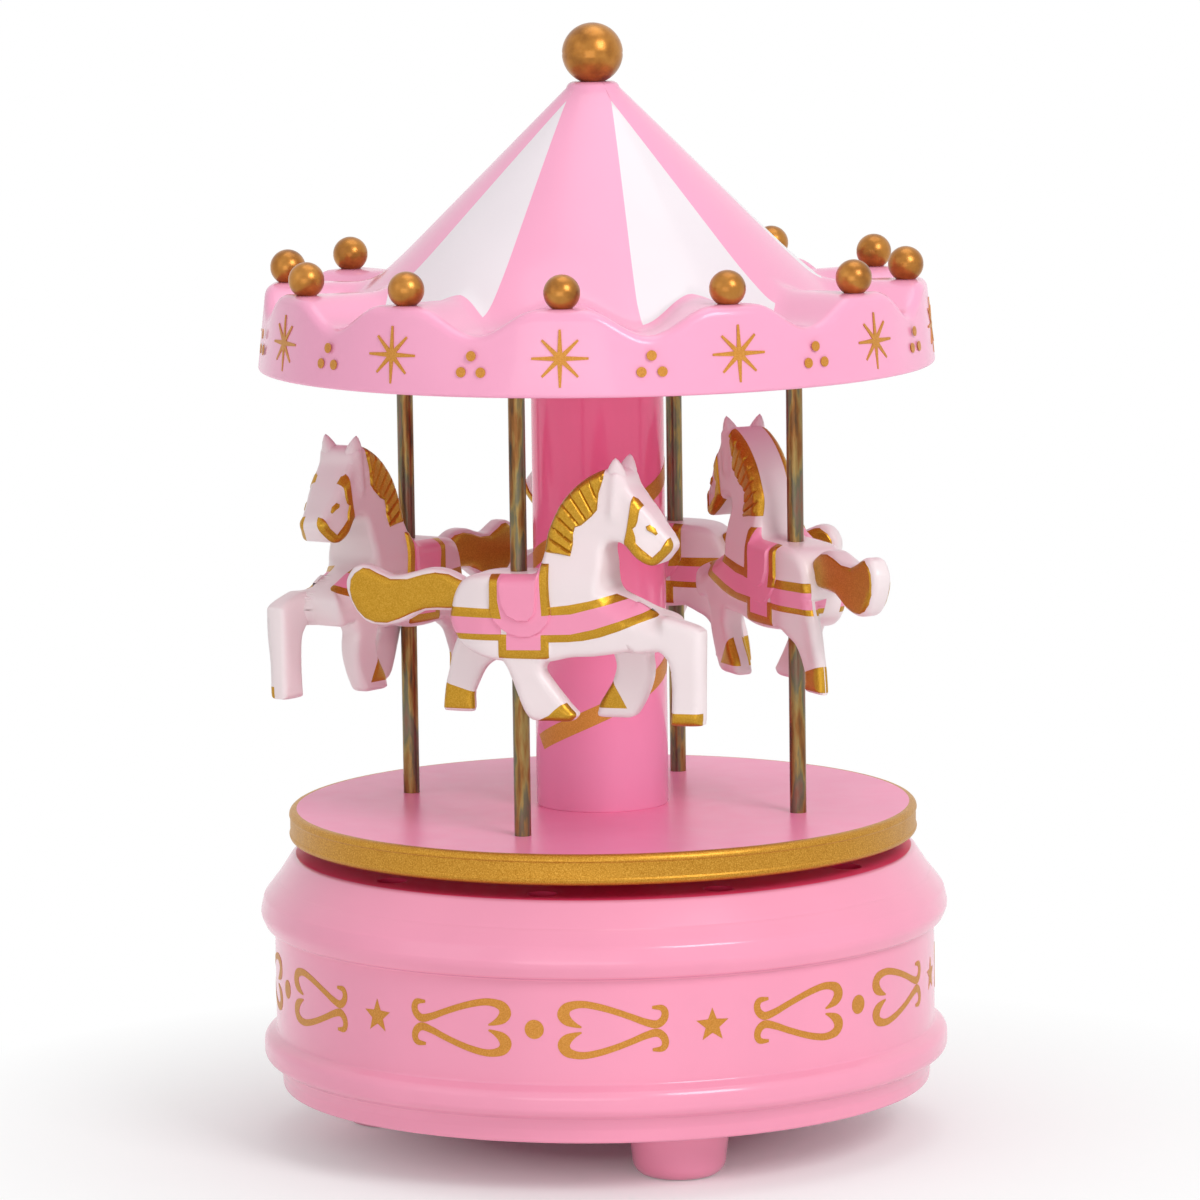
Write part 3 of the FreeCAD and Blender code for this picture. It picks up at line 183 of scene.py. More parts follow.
def plated_rod():
    """A rod whose thin plating shows streaks of gold, green, red and grey along its length."""
    material, shader = new_material("plated_rod", (0.42, 0.27, 0.12), 0.3, metallic=0.9)
    streaks = noise(material, 520, 6.0, (1, 1, 0.16))
    vary_colour(material, shader, streaks, [
        (0.30, (0.06, 0.045, 0.03)),
        (0.40, (0.24, 0.10, 0.03)),
        (0.48, (0.30, 0.20, 0.07)),
        (0.54, (0.14, 0.13, 0.08)),
        (0.60, (0.20, 0.13, 0.09)),
        (0.70, (0.27, 0.07, 0.03)),
    ])
    vary_roughness(material, shader, noise(material, 500, 4.0), 0.22, 0.45)
    add_bump(material, shader, noise(material, 1500, 3.0), 0.000015)
    return material


def antique_gold():
    """Brownish gold lacquer that is darker in soft patches."""
    material, shader = new_material("antique_gold", (0.42, 0.17, 0.028), 0.3, metallic=0.85, coat=0.12)
    patches = noise(material, 330, 4.0)
    vary_colour(material, shader, patches, [
        (0.30, (0.27, 0.10, 0.017)),
        (0.50, (0.42, 0.17, 0.028)),
        (0.70, (0.52, 0.23, 0.045)),
    ])
    vary_roughness(material, shader, noise(material, 800, 4.0), 0.24, 0.4)
    add_bump(material, shader, noise(material, 1600, 2.0), 0.00001)
    return material


BASE_PINK = moulded_plastic("base_pink", (0.90, 0.325, 0.475), 0.22, 0.4)
# Painted shade: a deep, saturated red for the deck in the shadow under the platform, in place of the base's
# own pink
DECK_PAINTED_SHADE = moulded_plastic("deck_painted_shade", (0.95, 0.06, 0.17), 0.34, 0.0, 0.2)
PLATFORM_PINK = moulded_plastic("platform_pink", (0.94, 0.28, 0.49), 0.3, 0.0, 0.24)
COLUMN_PINK = column_plastic_with_painted_shade()
ROOF_PINK = moulded_plastic("roof_pink", (0.92, 0.38, 0.57), 0.22, 0.2)
STRIPE_WHITE = moulded_plastic("stripe_white", (0.84, 0.77, 0.81), 0.22, 0.2)
HORSE_WHITE = moulded_plastic("horse_white", (0.85, 0.74, 0.75), 0.32, 0.1)
SADDLE_PINK = moulded_plastic("saddle_pink", (0.88, 0.30, 0.46), 0.32, 0.1)
PRINT_GOLD = metal_paint("print_gold", (0.50, 0.19, 0.015), (0.58, 0.24, 0.025), (0.66, 0.30, 0.05),
                         roughness=0.42, metallic=0.3, height=0.000004)
RIM_GOLD = metal_paint("rim_gold", (0.39, 0.165, 0.009), (0.52, 0.245, 0.023), (0.66, 0.36, 0.055),
                       roughness=0.38, metallic=0.75, height=0.000012)
HORSE_GOLD = metal_paint("horse_gold", (0.42, 0.21, 0.012), (0.50, 0.26, 0.02), (0.58, 0.32, 0.04),
                         roughness=0.34, metallic=0.8, height=0.000004)
BALL_GOLD = antique_gold()
ROD = plated_rod()
STEEL = turned_metal("steel", (0.56, 0.57, 0.58), 0.28)
BRASS = turned_metal("brass", (0.74, 0.52, 0.2), 0.3)
ZINC = turned_metal("zinc", (0.5, 0.5, 0.52), 0.42, (1, 1, 1))
NYLON = moulded_plastic("nylon", (0.8, 0.78, 0.74), 0.4, 0.1)


# Mesh helpers

def new_mesh(name, points, faces, materials, paint, crease):
    """A smooth mesh from points in millimetres; paint gives each face's material."""
    mesh = bpy.data.meshes.new(name)
    mesh.from_pydata([Vector(point) * MM for point in points], [], faces)
    for material in materials:
        mesh.materials.append(material)
    if paint is not None:
        mesh.polygons.foreach_set("material_index", paint)
    mesh.shade_smooth()
    mesh.set_sharp_from_angle(angle=math.radians(crease))
    mesh.validate()
    return mesh


def add_piece(name, points, faces, materials, body, slot, paint=None, stands_for=(), crease=40):
    piece = bpy.data.objects.new(name, new_mesh(name, points, faces, materials, paint, crease))
    bpy.context.scene.collection.objects.link(piece)
    dress(piece, body, stands_for)


def dress(piece, body, stands_for):
    """Hang a piece on a body, and hide the nodes that it stands for."""
    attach(piece, body)
    if stands_for:
        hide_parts(*stands_for)


def middle_of(node):
    """The middle of a node's box, across and deep."""
    low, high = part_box(node)
    return (low.x + high.x) / 2 / MM, (low.y + high.y) / 2 / MM


def polar(radius, angle, z):
    """A point at an angle in degrees from the front, counted towards the right."""
    return radius * math.sin(math.radians(angle)), -radius * math.cos(math.radians(angle)), z


def rounded(corners, steps=6):
    """A profile of radius and height in which a corner's third value rounds it."""
    line = []
    for index, corner in enumerate(corners):
        here = Vector(corner[:2])
        if len(corner) == 2:
            line.append(here)
            continue
        before = (Vector(corners[index - 1][:2]) - here).normalized()
        after = (Vector(corners[index + 1][:2]) - here).normalized()
        half = before.angle(after) / 2
        centre = here + (before + after).normalized() * (corner[2] / math.sin(half))
        arms = [here + way * (corner[2] / math.tan(half)) - centre for way in (before, after)]
        sweep = math.pi - 2 * half
        for step in range(steps + 1):
            share = step / steps
            weights = (math.sin((1 - share) * sweep), math.sin(share * sweep))
            line.append(centre + (arms[0] * weights[0] + arms[1] * weights[1]) / math.sin(sweep))
    return line


def lathe(profile, segments, centre=(0, 0), closed=False):
    """Points and faces of a profile turned about an upright axis, and each face's stretch of it."""
    points, rings, faces, stretches = [], [], [], []
    for radius, z in profile:
        first = len(points)
        if radius < 1e-6:
            points.append((*centre, z))
            rings.append([first] * segments)
            continue
        for step in range(segments):
            x, y, _ = polar(radius, 360 * step / segments, z)
            points.append((x + centre[0], y + centre[1], z))
        rings.append(list(range(first, first + segments)))
    pairs = list(zip(rings, rings[1:]))
    if closed:
        pairs.append((rings[-1], rings[0]))
    for stretch, (lower, upper) in enumerate(pairs):
        for step in range(segments):
            ahead = (step + 1) % segments
            corners = [lower[step], lower[ahead], upper[ahead], upper[step]]
            faces.append(list(dict.fromkeys(corners)))
            stretches.append(stretch)
    return points, faces, stretches


def merge(parts):
    """Several meshes' points and faces as one."""
    points, faces = [], []
    for some_points, some_faces in parts:
        start = len(points)
        points += some_points
        faces += [[start + corner for corner in face] for face in some_faces]
    return points, faces


def ring(radius, count, centre=(0, 0)):
    return [(centre[0] + radius * math.cos(TURN * k / count), centre[1] + radius * math.sin(TURN * k / count))
            for k in range(count)]


def loop_edges(loops):
    """The points of closed 2D lines, and the edges along them."""
    points, edges = [], []
    for loop in loops:
        start = len(points)
        points += [Vector(point) for point in loop]
        edges += [(start + k, start + (k + 1) % len(loop)) for k in range(len(loop))]
    return points, edges


def fill(loops):
    """Flat triangles between the first loop and the holes after it, as 2D points and faces."""
    points, edges = loop_edges(loops)
    made = delaunay_2d_cdt(points, edges, [list(range(len(loops[0])))], 0, 1e-7)
    middles = [sum((made[0][corner] for corner in face), Vector((0, 0))) / len(face) for face in made[2]]
    solid = within(middles, loops[0])
    for hole in loops[1:]:
        solid &= ~within(middles, hole)
    return [tuple(point) for point in made[0]], [list(face) for face, good in zip(made[2], solid) if good]


def within(points, loop):
    """Which of many 2D points lie in a closed outline."""
    x, y = np.array(points, float).T
    found = np.zeros(len(x), bool)
    for (ax, ay), (bx, by) in zip(loop, list(loop[1:]) + [loop[0]]):
        if ay != by:
            found ^= ((ay > y) != (by > y)) & (x < (bx - ax) * (y - ay) / (by - ay) + ax)
    return found


def open_edges(faces):
    """The edges that only one face has."""
    sides = {(a, b) for face in faces for a, b in zip(face, face[1:] + face[:1])}
    return sorted((a, b) for a, b in sides if (b, a) not in sides)


def thicken(top, bottom, faces):
    """A closed plate between two sheets of points that share their faces."""
    count = len(top)
    plate = [list(face) for face in faces]
    plate += [[corner + count for corner in reversed(face)] for face in faces]
    plate += [[b, a, a + count, b + count] for a, b in open_edges(faces)]
    return list(top) + list(bottom), plate


def curve(a, b, c, d, steps):
    """Points of a smooth curve from b up to c, whose neighbours are a and d."""
    line = []
    for step in range(steps):
        t = step / steps
        line.append(0.5 * (2 * b + (c - a) * t + (2 * a - 5 * b + 4 * c - d) * t * t
                           + (3 * b - a - 3 * c + d) * t ** 3))
    return line


def smooth_loop(points, steps):
    """A closed curve through 2D points."""
    rows = [np.array(point, float) for point in points]
    count = len(rows)
    line = []
    for index in range(count):
        line += curve(*(rows[(index + shift) % count] for shift in (-1, 0, 1, 2)), steps)
    return [tuple(point) for point in line]


def smooth_path(points, steps):
    """An open curve through points of any number of values."""
    rows = [np.array(point, float) for point in points]
    rows = [2 * rows[0] - rows[1]] + rows + [2 * rows[-1] - rows[-2]]
    line = []
    for neighbours in zip(rows, rows[1:], rows[2:], rows[3:]):
        line += curve(*neighbours, steps)
    line.append(rows[-2])
    return line


# Base, feet, platform and column; a profile's corner has a radius, a height and what rounds it

BASE_OUTSIDE = (
    (49.5, BASE_BOTTOM, 0.3), (51.7, BASE_BOTTOM, 0.5), (51.9, 10.8, 1.5), (52.55, 12.5, 0.5),
    (54.6, 13.6, 1.6), (54.6, 16.8, 1.6), (52.6, 17.9, 0.5),
    (WALL_RADIUS, 34.2, 0.5), (53.9, 34.5, 1.0), (54.85, 36.6, 2.2), (54.2, 39.3, 1.2),
    (52.3, 41.75, 0.5), (52.05, 42.0, 0.3), (DECK_RADIUS, DECK_Z, 1.2), (DECK_FLAT, DECK_Z))
BASE_INSIDE = (
    (DECK_UNDER_FLAT, DECK_UNDER), (50.6, 37.2), (50.6, 32), (50.4, 32), (50.4, 12.5), (49.5, 10.8),
    (49.5, BASE_BOTTOM))
FOOT = ((0, 0), (7.0, 0, 2.6), (8.0, 8.4, 0.15), (8.0, BASE_BOTTOM), (3, BASE_BOTTOM), (3, 10.8), (0, 10.8))
PLATFORM_FLOOR = ((1.1, PLATFORM_TOP), (48.6, PLATFORM_TOP), (48.8, PLATFORM_TOP))
PLATFORM_RIM = (
    (48.8, PLATFORM_TOP), (PLATFORM_RADIUS, PLATFORM_TOP, 0.9), (PLATFORM_RADIUS, 52.0, 0.2),
    (49.85, 51.8, 0.2), (49.85, 49.4, 0.2), (PLATFORM_RADIUS, 49.2, 0.2),
    (PLATFORM_RADIUS, PLATFORM_BOTTOM, 0.9), (48.6, PLATFORM_BOTTOM))
PLATFORM_UNDER = (
    (48, PLATFORM_BOTTOM), (48, 50.6), (8, 50.6), (8, 47.0), (3.05, 47.0), (3.05, 50.6), (1.1, 50.6))
COLUMN = (
    (COLUMN_BORE, PLATFORM_TOP), (10.25, PLATFORM_TOP), (COLUMN_RADIUS, PLATFORM_TOP + 0.3),
    (COLUMN_RADIUS, CEILING_Z), (COLUMN_BORE, CEILING_Z))
ROUND = 200


def sound_hole_loops(count=24):
    loops = []
    for index in range(SOUND_HOLES):
        x, y, _ = polar(SOUND_HOLE_CIRCLE, FIRST_SOUND_HOLE + index * 360 / SOUND_HOLES, 0)
        loops.append(ring(SOUND_HOLE_RADIUS, count, (x, y)))
    return loops


def deck_sheet(radius, z, holes):
    """The deck's top or underside with its holes, facing up."""
    rim = [polar(radius, 360 * step / ROUND, 0)[:2] for step in range(ROUND)]
    flat, faces = fill([rim] + holes)
    return [(x, y, z) for x, y in flat], faces


def hole_wall(loop):
    count = len(loop)
    points = [(x, y, z) for z in (DECK_Z, DECK_UNDER) for x, y in loop]
    return points, [[k, (k + 1) % count, (k + 1) % count + count, k + count] for k in range(count)]


def make_base():
    """The turned shell with two beads, a crease on its shoulder, and a deck with sound holes whose faces are
    painted deep red as painted shade under the platform.
    """
    outer = rounded(BASE_OUTSIDE)
    outer[0] = Vector(BASE_OUTSIDE[0][:2])
    turned = [lathe(line, ROUND)[:2] for line in (outer, BASE_INSIDE)]
    holes = [ring(BUSH_RADIUS, 48)] + sound_hole_loops()
    top = deck_sheet(DECK_FLAT, DECK_Z, holes)
    under_points, under_faces = deck_sheet(DECK_UNDER_FLAT, DECK_UNDER, holes)
    under = under_points, [face[::-1] for face in under_faces]
    points, faces = merge(turned + [top, under] + [hole_wall(loop) for loop in holes])
    shell_faces = sum(len(part[1]) for part in turned)
    # The deck's top and underside, the hole walls and the shell's flat top take the painted shade colour
    paint = [1] * len(faces)
    for index, face in enumerate(faces[:shell_faces]):
        paint[index] = 1 if min(points[corner][2] for corner in face) > DECK_Z - 0.05 else 0
    add_piece("base_moulding", points, faces, [BASE_PINK, DECK_PAINTED_SHADE], "base", "base_pink", paint,
              ["base_shell"])


def make_feet():
    """Tapered feet with rounded toes."""
    for index in (1, 2, 3):
        points, faces, _ = lathe(rounded(FOOT, 10), 72, middle_of(f"foot_{index}"))
        add_piece(f"foot_moulding_{index}", points, faces, [BASE_PINK], "base", "base_pink",
                  stands_for=[f"foot_{index}"])


def make_platform():
    """The floor of the carousel: pink with a gold painted rim that wraps over its two edges.

    Its profile starts outwards along the top, so the faces are turned round to face out.
    """
    rim = rounded(PLATFORM_RIM, 5)[1:]
    points, faces, stretches = lathe([*PLATFORM_FLOOR, *rim, *PLATFORM_UNDER], ROUND, closed=True)
    faces = [face[::-1] for face in faces]
    first_gold = len(PLATFORM_FLOOR) - 1
    gold = range(first_gold, first_gold + len(rim))
    paint = [1 if stretch in gold else 0 for stretch in stretches]
    add_piece("platform_floor", points, faces, [PLATFORM_PINK, RIM_GOLD], "carousel", "platform_pink", paint,
              ["platform"])


def make_column():
    """The middle tube, with a small chamfer at its foot."""
    points, faces, _ = lathe(COLUMN, 128, closed=True)
    add_piece("column_tube", points, faces, [COLUMN_PINK], "carousel", "platform_pink", stands_for=["column"])


# Printed ornament

PRINT_LIFT = 0.045
PRINT_SINK = 0.08


def ribbon(path):
    """A stroke along points of across, up and width, as 2D points and faces."""
    line = smooth_path(path, 6)
    points, faces = [], []
    for index, (x, y, width) in enumerate(line):
        before, after = line[max(index - 1, 0)], line[min(index + 1, len(line) - 1)]
        way = Vector((after[0] - before[0], after[1] - before[1])).normalized()
        side = Vector((-way.y, way.x)) * width / 2
        points += [(x + side.x, y + side.y), (x - side.x, y - side.y)]
        if index:
            k = 2 * index
            faces.append([k - 2, k - 1, k + 1, k])
    return points, faces


def fan(rim):
    """A filled outline about its own middle."""
    middle = tuple(np.mean(rim, axis=0))
    count = len(rim)
    return [middle] + list(rim), [[0, k + 1, (k + 1) % count + 1] for k in range(count)]


def dot(radius, x=0.0, y=0.0):
    return fan(ring(radius, 28, (x, y)))


def five_point_star(radius=2.75, waist=0.43):
    rim = []
    for k in range(10):
        angle = math.pi / 2 + k * TURN / 10
        reach = radius * (waist if k % 2 else 1)
        rim.append((reach * math.cos(angle), reach * math.sin(angle)))
    return fan(rim)


def ray_star(long_ray=4.35, short_ray=3.9, core=0.95, tip=0.17):
    """Eight thin rays with blunt tips."""
    rim = []
    for k in range(8):
        angle = math.pi / 2 + k * TURN / 8
        reach = short_ray if k % 2 else long_ray
        along = Vector((math.cos(angle), math.sin(angle)))
        across = Vector((-along.y, along.x))
        rim += [tuple(along * reach - across * tip), tuple(along * reach + across * tip)]
        notch = angle + TURN / 16
        rim.append((core * math.cos(notch), core * math.sin(notch)))
    return fan(rim)


# One half of a heart scroll that lies on its side: along, up and stroke width
SCROLL = (
    (-5.0, 0.4, 0.25), (-6.1, 0.8, 0.85), (-7.2, 1.45, 1.6), (-7.75, 2.35, 1.9), (-7.3, 3.35, 1.6),
    (-6.1, 3.85, 1.25), (-4.5, 3.95, 1.1), (-2.35, 3.55, 1.05), (0, 2.85, 1.0), (2.6, 1.9, 1.0),
    (4.6, 1.1, 1.1), (6.4, 0.65, 1.25), (7.45, 1.25, 1.2), (7.8, 2.3, 1.1), (7.3, 3.15, 0.95),
    (5.8, 3.3, 0.45))


def heart_scroll(facing):
    """Two mirrored strokes; facing 1 has its tails towards the right."""
    return merge([ribbon([(facing * x, side * y, width) for x, y, width in SCROLL]) for side in (-1, 1)])


def wrap(patch, angle, z, radius_at):
    """A thin closed plate of a flat patch laid round an upright surface at an angle from the front."""
    sheets = []
    for lift in (PRINT_LIFT, -PRINT_SINK):
        sheets.append([polar(radius_at(z + y) + lift, angle + math.degrees(x / radius_at(z + y)), z + y)
                       for x, y in patch[0]])
    return thicken(*sheets, patch[1])


def make_base_prints():
    """A band of dots, stars and heart scrolls round the base's wall."""
    band_z, repeats, first_dot, scroll_angle = 26.5, 6, -12, 13.4
    pitch = 360 / repeats
    row = ((dot(1.5), 0), (heart_scroll(1), scroll_angle), (five_point_star(), pitch / 2),
           (heart_scroll(-1), pitch - scroll_angle))
    plates = []
    for index in range(repeats):
        for patch, angle in row:
            plates.append(wrap(patch, first_dot + index * pitch + angle, band_z, lambda z: WALL_RADIUS))
    points, faces = merge(plates)
    add_piece("base_prints", points, faces, [PRINT_GOLD], "base", "antique_gold")


def skirt_radius(z):
    share = (z - ROOF_BOTTOM) / (ROOF_PEAK - ROOF_BOTTOM)
    return ROOF_RADIUS + (ROOF_TOP_RADIUS - ROOF_RADIUS) * share


def make_roof_prints():
    """Rayed stars under the balls and three dots under each valley."""
    star_z, dots_z, dot_radius = 129.2, 127.7, 0.78
    plates = []
    for index in range(PEAKS):
        angle = FIRST_PEAK + index * 360 / PEAKS
        plates.append(wrap(ray_star(), angle, star_z, skirt_radius))
        for x, y in ((0, 1.75), (-1.6, -0.7), (1.6, -0.7)):
            plates.append(wrap(dot(dot_radius, x, y), angle + 180 / PEAKS, dots_z, skirt_radius))
    points, faces = merge(plates)
    add_piece("roof_prints", points, faces, [PRINT_GOLD], "carousel", "antique_gold")


def make_column_band():
    """A gold ribbon that starts with a slanting end near the foot and climbs round the column."""
    half, middle_z, climb, end_slant = 1.5, 68.95, 30.0, 10
    first, last, steps, rows = -70, 630, 280, 4
    points, faces = [], []
    for step in range(steps + 1):
        angle = first + (last - first) * step / steps
        z = middle_z + climb * angle / 360
        for row in range(rows + 1):
            share = row / rows
            slant = end_slant * share * (1 - step / steps)
            up = half * (1 - 2 * share) + climb * slant / 360
            points.append((math.radians(angle + slant) * COLUMN_RADIUS, z + up))
    for step in range(steps):
        start = step * (rows + 1)
        faces += [[k, k + 1, k + rows + 2, k + rows + 1] for k in range(start, start + rows)]
    plate = wrap((points, faces), 0, 0, lambda z: COLUMN_RADIUS)
    add_piece("column_band", *plate, [PRINT_GOLD], "carousel", "antique_gold")


# Roof

CONE_TOP_Z, CONE_TOP_RADIUS, FLARE_START, FLARE_START_Z = 167.8, 4.2, 28.0, 143.2
CONE_SLOPE = (CONE_TOP_Z - 1 - FLARE_START_Z) / (FLARE_START - CONE_TOP_RADIUS)
FLARE_END, FLARE_EASE = 41.0, 0.01177
STRIPES, FIRST_STRIPE, STRIPE_HALF, STRIPE_TIP, STRIPE_FOOT = 5, 28, 18, 6.0, 36.0
RIDGE_BLEND, EDGE_ROUND = 2.4, 1.7
# The tip's radii and drops, and the profile of the skirt's outside and the roof's inside
ROOF_TIP = ((0.4, 0), (2.6, 0), (3.3, 0.05), (3.8, 0.3), (4.1, 0.7))
SKIRT = (
    (ROOF_TOP_RADIUS, 134), (ROOF_RADIUS, ROOF_BOTTOM, 0.5), (50.65, ROOF_BOTTOM, 0.2), (50.65, CEILING_TOP),
    (49.2, CEILING_TOP), (49.2, 130.3), (39, 130.3), (28, 140.2), (4.2, 163.8), (0.4, 163.8))


def cone_height(radius):
    out = max(radius - FLARE_START, 0)
    return FLARE_START_Z - CONE_SLOPE * (radius - FLARE_START) + FLARE_EASE * out * out


def skirt_height(radius, angle):
    """The top of the scalloped skirt: level ridges under the balls, and radial valleys between them."""
    pitch = 360 / PEAKS
    off = (angle - FIRST_PEAK) % pitch - pitch / 2
    across = abs(radius * math.sin(math.radians(off)))
    dip = 0.5 + 0.5 * math.cos(math.pi * min(across / VALLEY_HALF_WIDTH, 1))
    return ROOF_PEAK - VALLEY_DEPTH * dip


def blended(first, second):
    """The higher of two levels, with a soft fillet where they cross."""
    near = max(RIDGE_BLEND - abs(first - second), 0)
    return max(first, second) + near * near / (4 * RIDGE_BLEND)


def foot_of_cone(angle):
    """The radius at which the cone dips below the skirt."""
    low, high = FLARE_START, FLARE_END + 2
    for _ in range(30):
        middle = (low + high) / 2
        if cone_height(middle) > skirt_height(middle, angle):
            low = middle
        else:
            high = middle
    return low


def stripe_angle(radius):
    """Half of a stripe's angle; its straight edges meet in a point near the top."""
    if radius <= STRIPE_TIP:
        return 0.0
    widest = math.sin(math.radians(STRIPE_HALF))
    reach = STRIPE_FOOT * widest * (radius - STRIPE_TIP) / (STRIPE_FOOT - STRIPE_TIP)
    return math.degrees(math.asin(min(reach / radius, widest)))


def roof_columns():
    """For each column of the roof, which share of a stripe or of the pink between it stands for."""
    halves = 15
    columns = []
    for stripe in range(STRIPES):
        centre = FIRST_STRIPE + stripe * 360 / STRIPES
        columns += [(centre, step / halves, True) for step in range(-halves, halves)]
        columns += [(centre, step / (2 * halves), False) for step in range(2 * halves)]
    return columns


def column_angle(column, radius):
    centre, share, white = column
    half = stripe_angle(radius)
    if white:
        return centre + share * half
    return centre + half + share * (360 / STRIPES - 2 * half)


def spaced(low, high, count):
    return [low + (high - low) * k / count for k in range(count)]


def roof_line(column, skirt):
    """One line from the roof's tip over the skirt to the inside, and how many of its rows are the cone's."""
    line = [(radius, column_angle(column, radius), CONE_TOP_Z - drop) for radius, drop in ROOF_TIP]
    foot = foot_of_cone(column_angle(column, STRIPE_FOOT))
    edge = ROOF_TOP_RADIUS - EDGE_ROUND
    radii = spaced(CONE_TOP_RADIUS, STRIPE_TIP, 2) + spaced(STRIPE_TIP, FLARE_START, 14)
    radii += spaced(FLARE_START, foot, 14)
    cone_rows = len(line) + len(radii)
    radii += spaced(foot, edge, 14) + [edge]
    for radius in radii:
        angle = column_angle(column, radius)
        line.append((radius, angle, blended(cone_height(radius), skirt_height(radius, angle))))
    angle, top = line[-1][1:]
    for step in range(1, 7):
        tilt = math.pi / 2 * step / 6
        line.append((edge + EDGE_ROUND * math.sin(tilt), angle, top - EDGE_ROUND * (1 - math.cos(tilt))))
    line += [(radius, angle, z) for radius, z in skirt]
    return [polar(*row) for row in line], cone_rows


def make_roof():
    """The flared cone with white stripes, in one piece with the scalloped skirt."""
    columns = roof_columns()
    skirt = rounded(SKIRT, 4)[1:]
    points, faces, paint = [], [], []
    for column in columns:
        line, cone_rows = roof_line(column, skirt)
        points += line
    rows, count = len(line), len(columns)
    for index, (_, _, white) in enumerate(columns):
        here, ahead = index * rows, (index + 1) % count * rows
        for step in range(rows - 1):
            faces.append((here + step, here + step + 1, ahead + step + 1, ahead + step))
            paint.append(1 if white and step < cone_rows else 0)
    tip = [index * rows for index in range(count)]
    under = [index * rows + rows - 1 for index in range(count)]
    faces += [tip, under[::-1]]
    paint += [0, 0]
    add_piece("roof_moulding", points, faces, [ROOF_PINK, STRIPE_WHITE], "carousel", "roof_pink", paint,
              ["roof_shell"], crease=50)


def make_ball(name, node, radius, flat, pin=0.8):
    """A ball with a flat foot, a short neck in its socket and a fine mould line round its middle."""
    low, high = (corner.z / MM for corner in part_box(node))
    middle = high - radius
    start = -math.acos(flat / radius)
    profile = [Vector((0, low)), Vector((pin, low)), Vector((pin, middle + radius * math.sin(start)))]
    steps, seam_depth, seam_width = 40, 0.012, 0.03
    for step in range(steps + 1):
        tilt = start + (math.pi / 2 - start) * step / steps
        reach = radius - seam_depth * radius * math.exp(-(tilt / seam_width) ** 2)
        profile.append(Vector((max(reach * math.cos(tilt), 0), middle + reach * math.sin(tilt))))
    profile[-1].x = 0
    points, faces, _ = lathe(profile, 64, middle_of(node))
    add_piece(name, points, faces, [BALL_GOLD], "carousel", "antique_gold", stands_for=[node])


def make_balls():
    for index in range(1, PEAKS + 1):
        make_ball(f"gold_ball_{index}", f"rim_ball_{index}", 2.8, 1.5)
    make_ball("gold_finial", "finial_ball", 4.8, 1.9)


# Horses: outlines as distance forward of the rod and height above the hooves

HORSE_BODY = (
    (-10.3, 15.8), (-10, 17.4), (-9.5, 19.2), (-8.5, 20.9), (-7.2, 21.9), (-5.2, 22.4), (-2, 22.6),
    (2, 22.7), (4.2, 22.9), (5, 24), (5.5, 25.7), (5.7, 27), (6, 29), (6.9, 31.2), (8.2, 33.6), (10, 35.7),
    (11.9, 37.3), (14, 38.5), (15.6, 39.1), (16.8, 39.2), (18.1, 38.9), (18.9, 38.1), (19.6, 36.4),
    (21, 34.6), (22.7, 32.6), (24.2, 30.6), (25.5, 29), (26.1, 27.9), (26, 27), (25.3, 26.1), (23.8, 24.7),
    (22.4, 24.7), (20.5, 25.8), (18.7, 27.5), (17.4, 28), (16, 27.8), (15.3, 26.6), (15.3, 24.4),
    (15.2, 22.5), (15.6, 21), (17, 20), (19.5, 19), (22, 17.9), (24.2, 17), (25.6, 15.6), (25.6, 13.4),
    (24.4, 11.5), (22.4, 11.7), (20.2, 11.5), (17.8, 11), (14, 10.4), (10.2, 10.1), (6.6, 9.3), (3, 9),
    (-0.7, 9.1), (-3.5, 9.4), (-6, 10.2), (-8.2, 11.4), (-9.4, 12.9), (-10.1, 14.4))
HORSE_TAIL = (
    (-28.6, 18.8), (-28.6, 20.4), (-27.7, 22), (-26.6, 22.7), (-25.2, 22.8), (-23.8, 22.3), (-21.6, 21.4),
    (-19.7, 21.4), (-17.6, 21.9), (-15, 22.6), (-12.6, 22.6), (-10.4, 21.9), (-8.5, 20.6), (-8, 18),
    (-10, 16.5), (-12, 16.2), (-15.2, 16), (-16.8, 15.4), (-19.2, 14.1), (-21.8, 13.5), (-23.8, 13.5),
    (-25.6, 14.1), (-27, 15.5), (-28, 17.2))
OUTER_FORELEG = (
    (20, 18.7), (24.2, 17), (26, 16.8), (28.2, 16.3), (30.3, 15.7), (31.4, 15.1), (31.8, 14.2), (31.7, 8.6),
    (31.6, 2.7), (31.5, 0.9), (31, 0.3), (26.9, 0.2), (26.4, 0.8), (26.5, 2.3), (26.6, 6.4), (26.4, 9.3),
    (25.7, 10.7), (24.4, 11.5), (20, 11.6))
OUTER_HINDLEG = (
    (-2.5, 12), (-1.6, 9.6), (-0.9, 8.8), (-0.3, 7.7), (0.6, 5.4), (1.6, 2.8), (2.6, 0.9), (3.9, 0.05),
    (6.5, 0.05), (9.4, 0.1), (10.3, 0.5), (10.7, 1.3), (9.7, 2.4), (7.6, 4.8), (5.7, 7.2), (5.4, 8.2),
    (6, 9.2), (7, 10.5), (5, 13), (0, 13))
INNER_HINDLEG = (
    (-9.6, 15), (-10.8, 12.8), (-12, 10), (-12.8, 6.6), (-13.4, 4.2), (-13.8, 1), (-13.7, 0.3),
    (-13.2, 0.05), (-9.3, 0.05), (-8.7, 0.4), (-8.6, 1.2), (-8.6, 3), (-8, 4.6), (-7.1, 6.5), (-6.2, 7.6),
    (-4.6, 8.6), (-2, 10.5), (-4, 14))
INNER_FORELEG = (
    (14, 13.5), (14.5, 10.8), (15, 9.4), (15.2, 8), (14.7, 6.2), (14.1, 5), (12.5, 2.5), (12.1, 1.2),
    (12, 0.6), (12.5, 0.15), (15, 0.15), (17.7, 0.35), (19, 1.9), (20.1, 4.1), (20.8, 6.3), (20.9, 8.3),
    (20.7, 10), (21.5, 12), (19, 14.5))

WHITE, GOLD, ROSE = 0, 1, 2

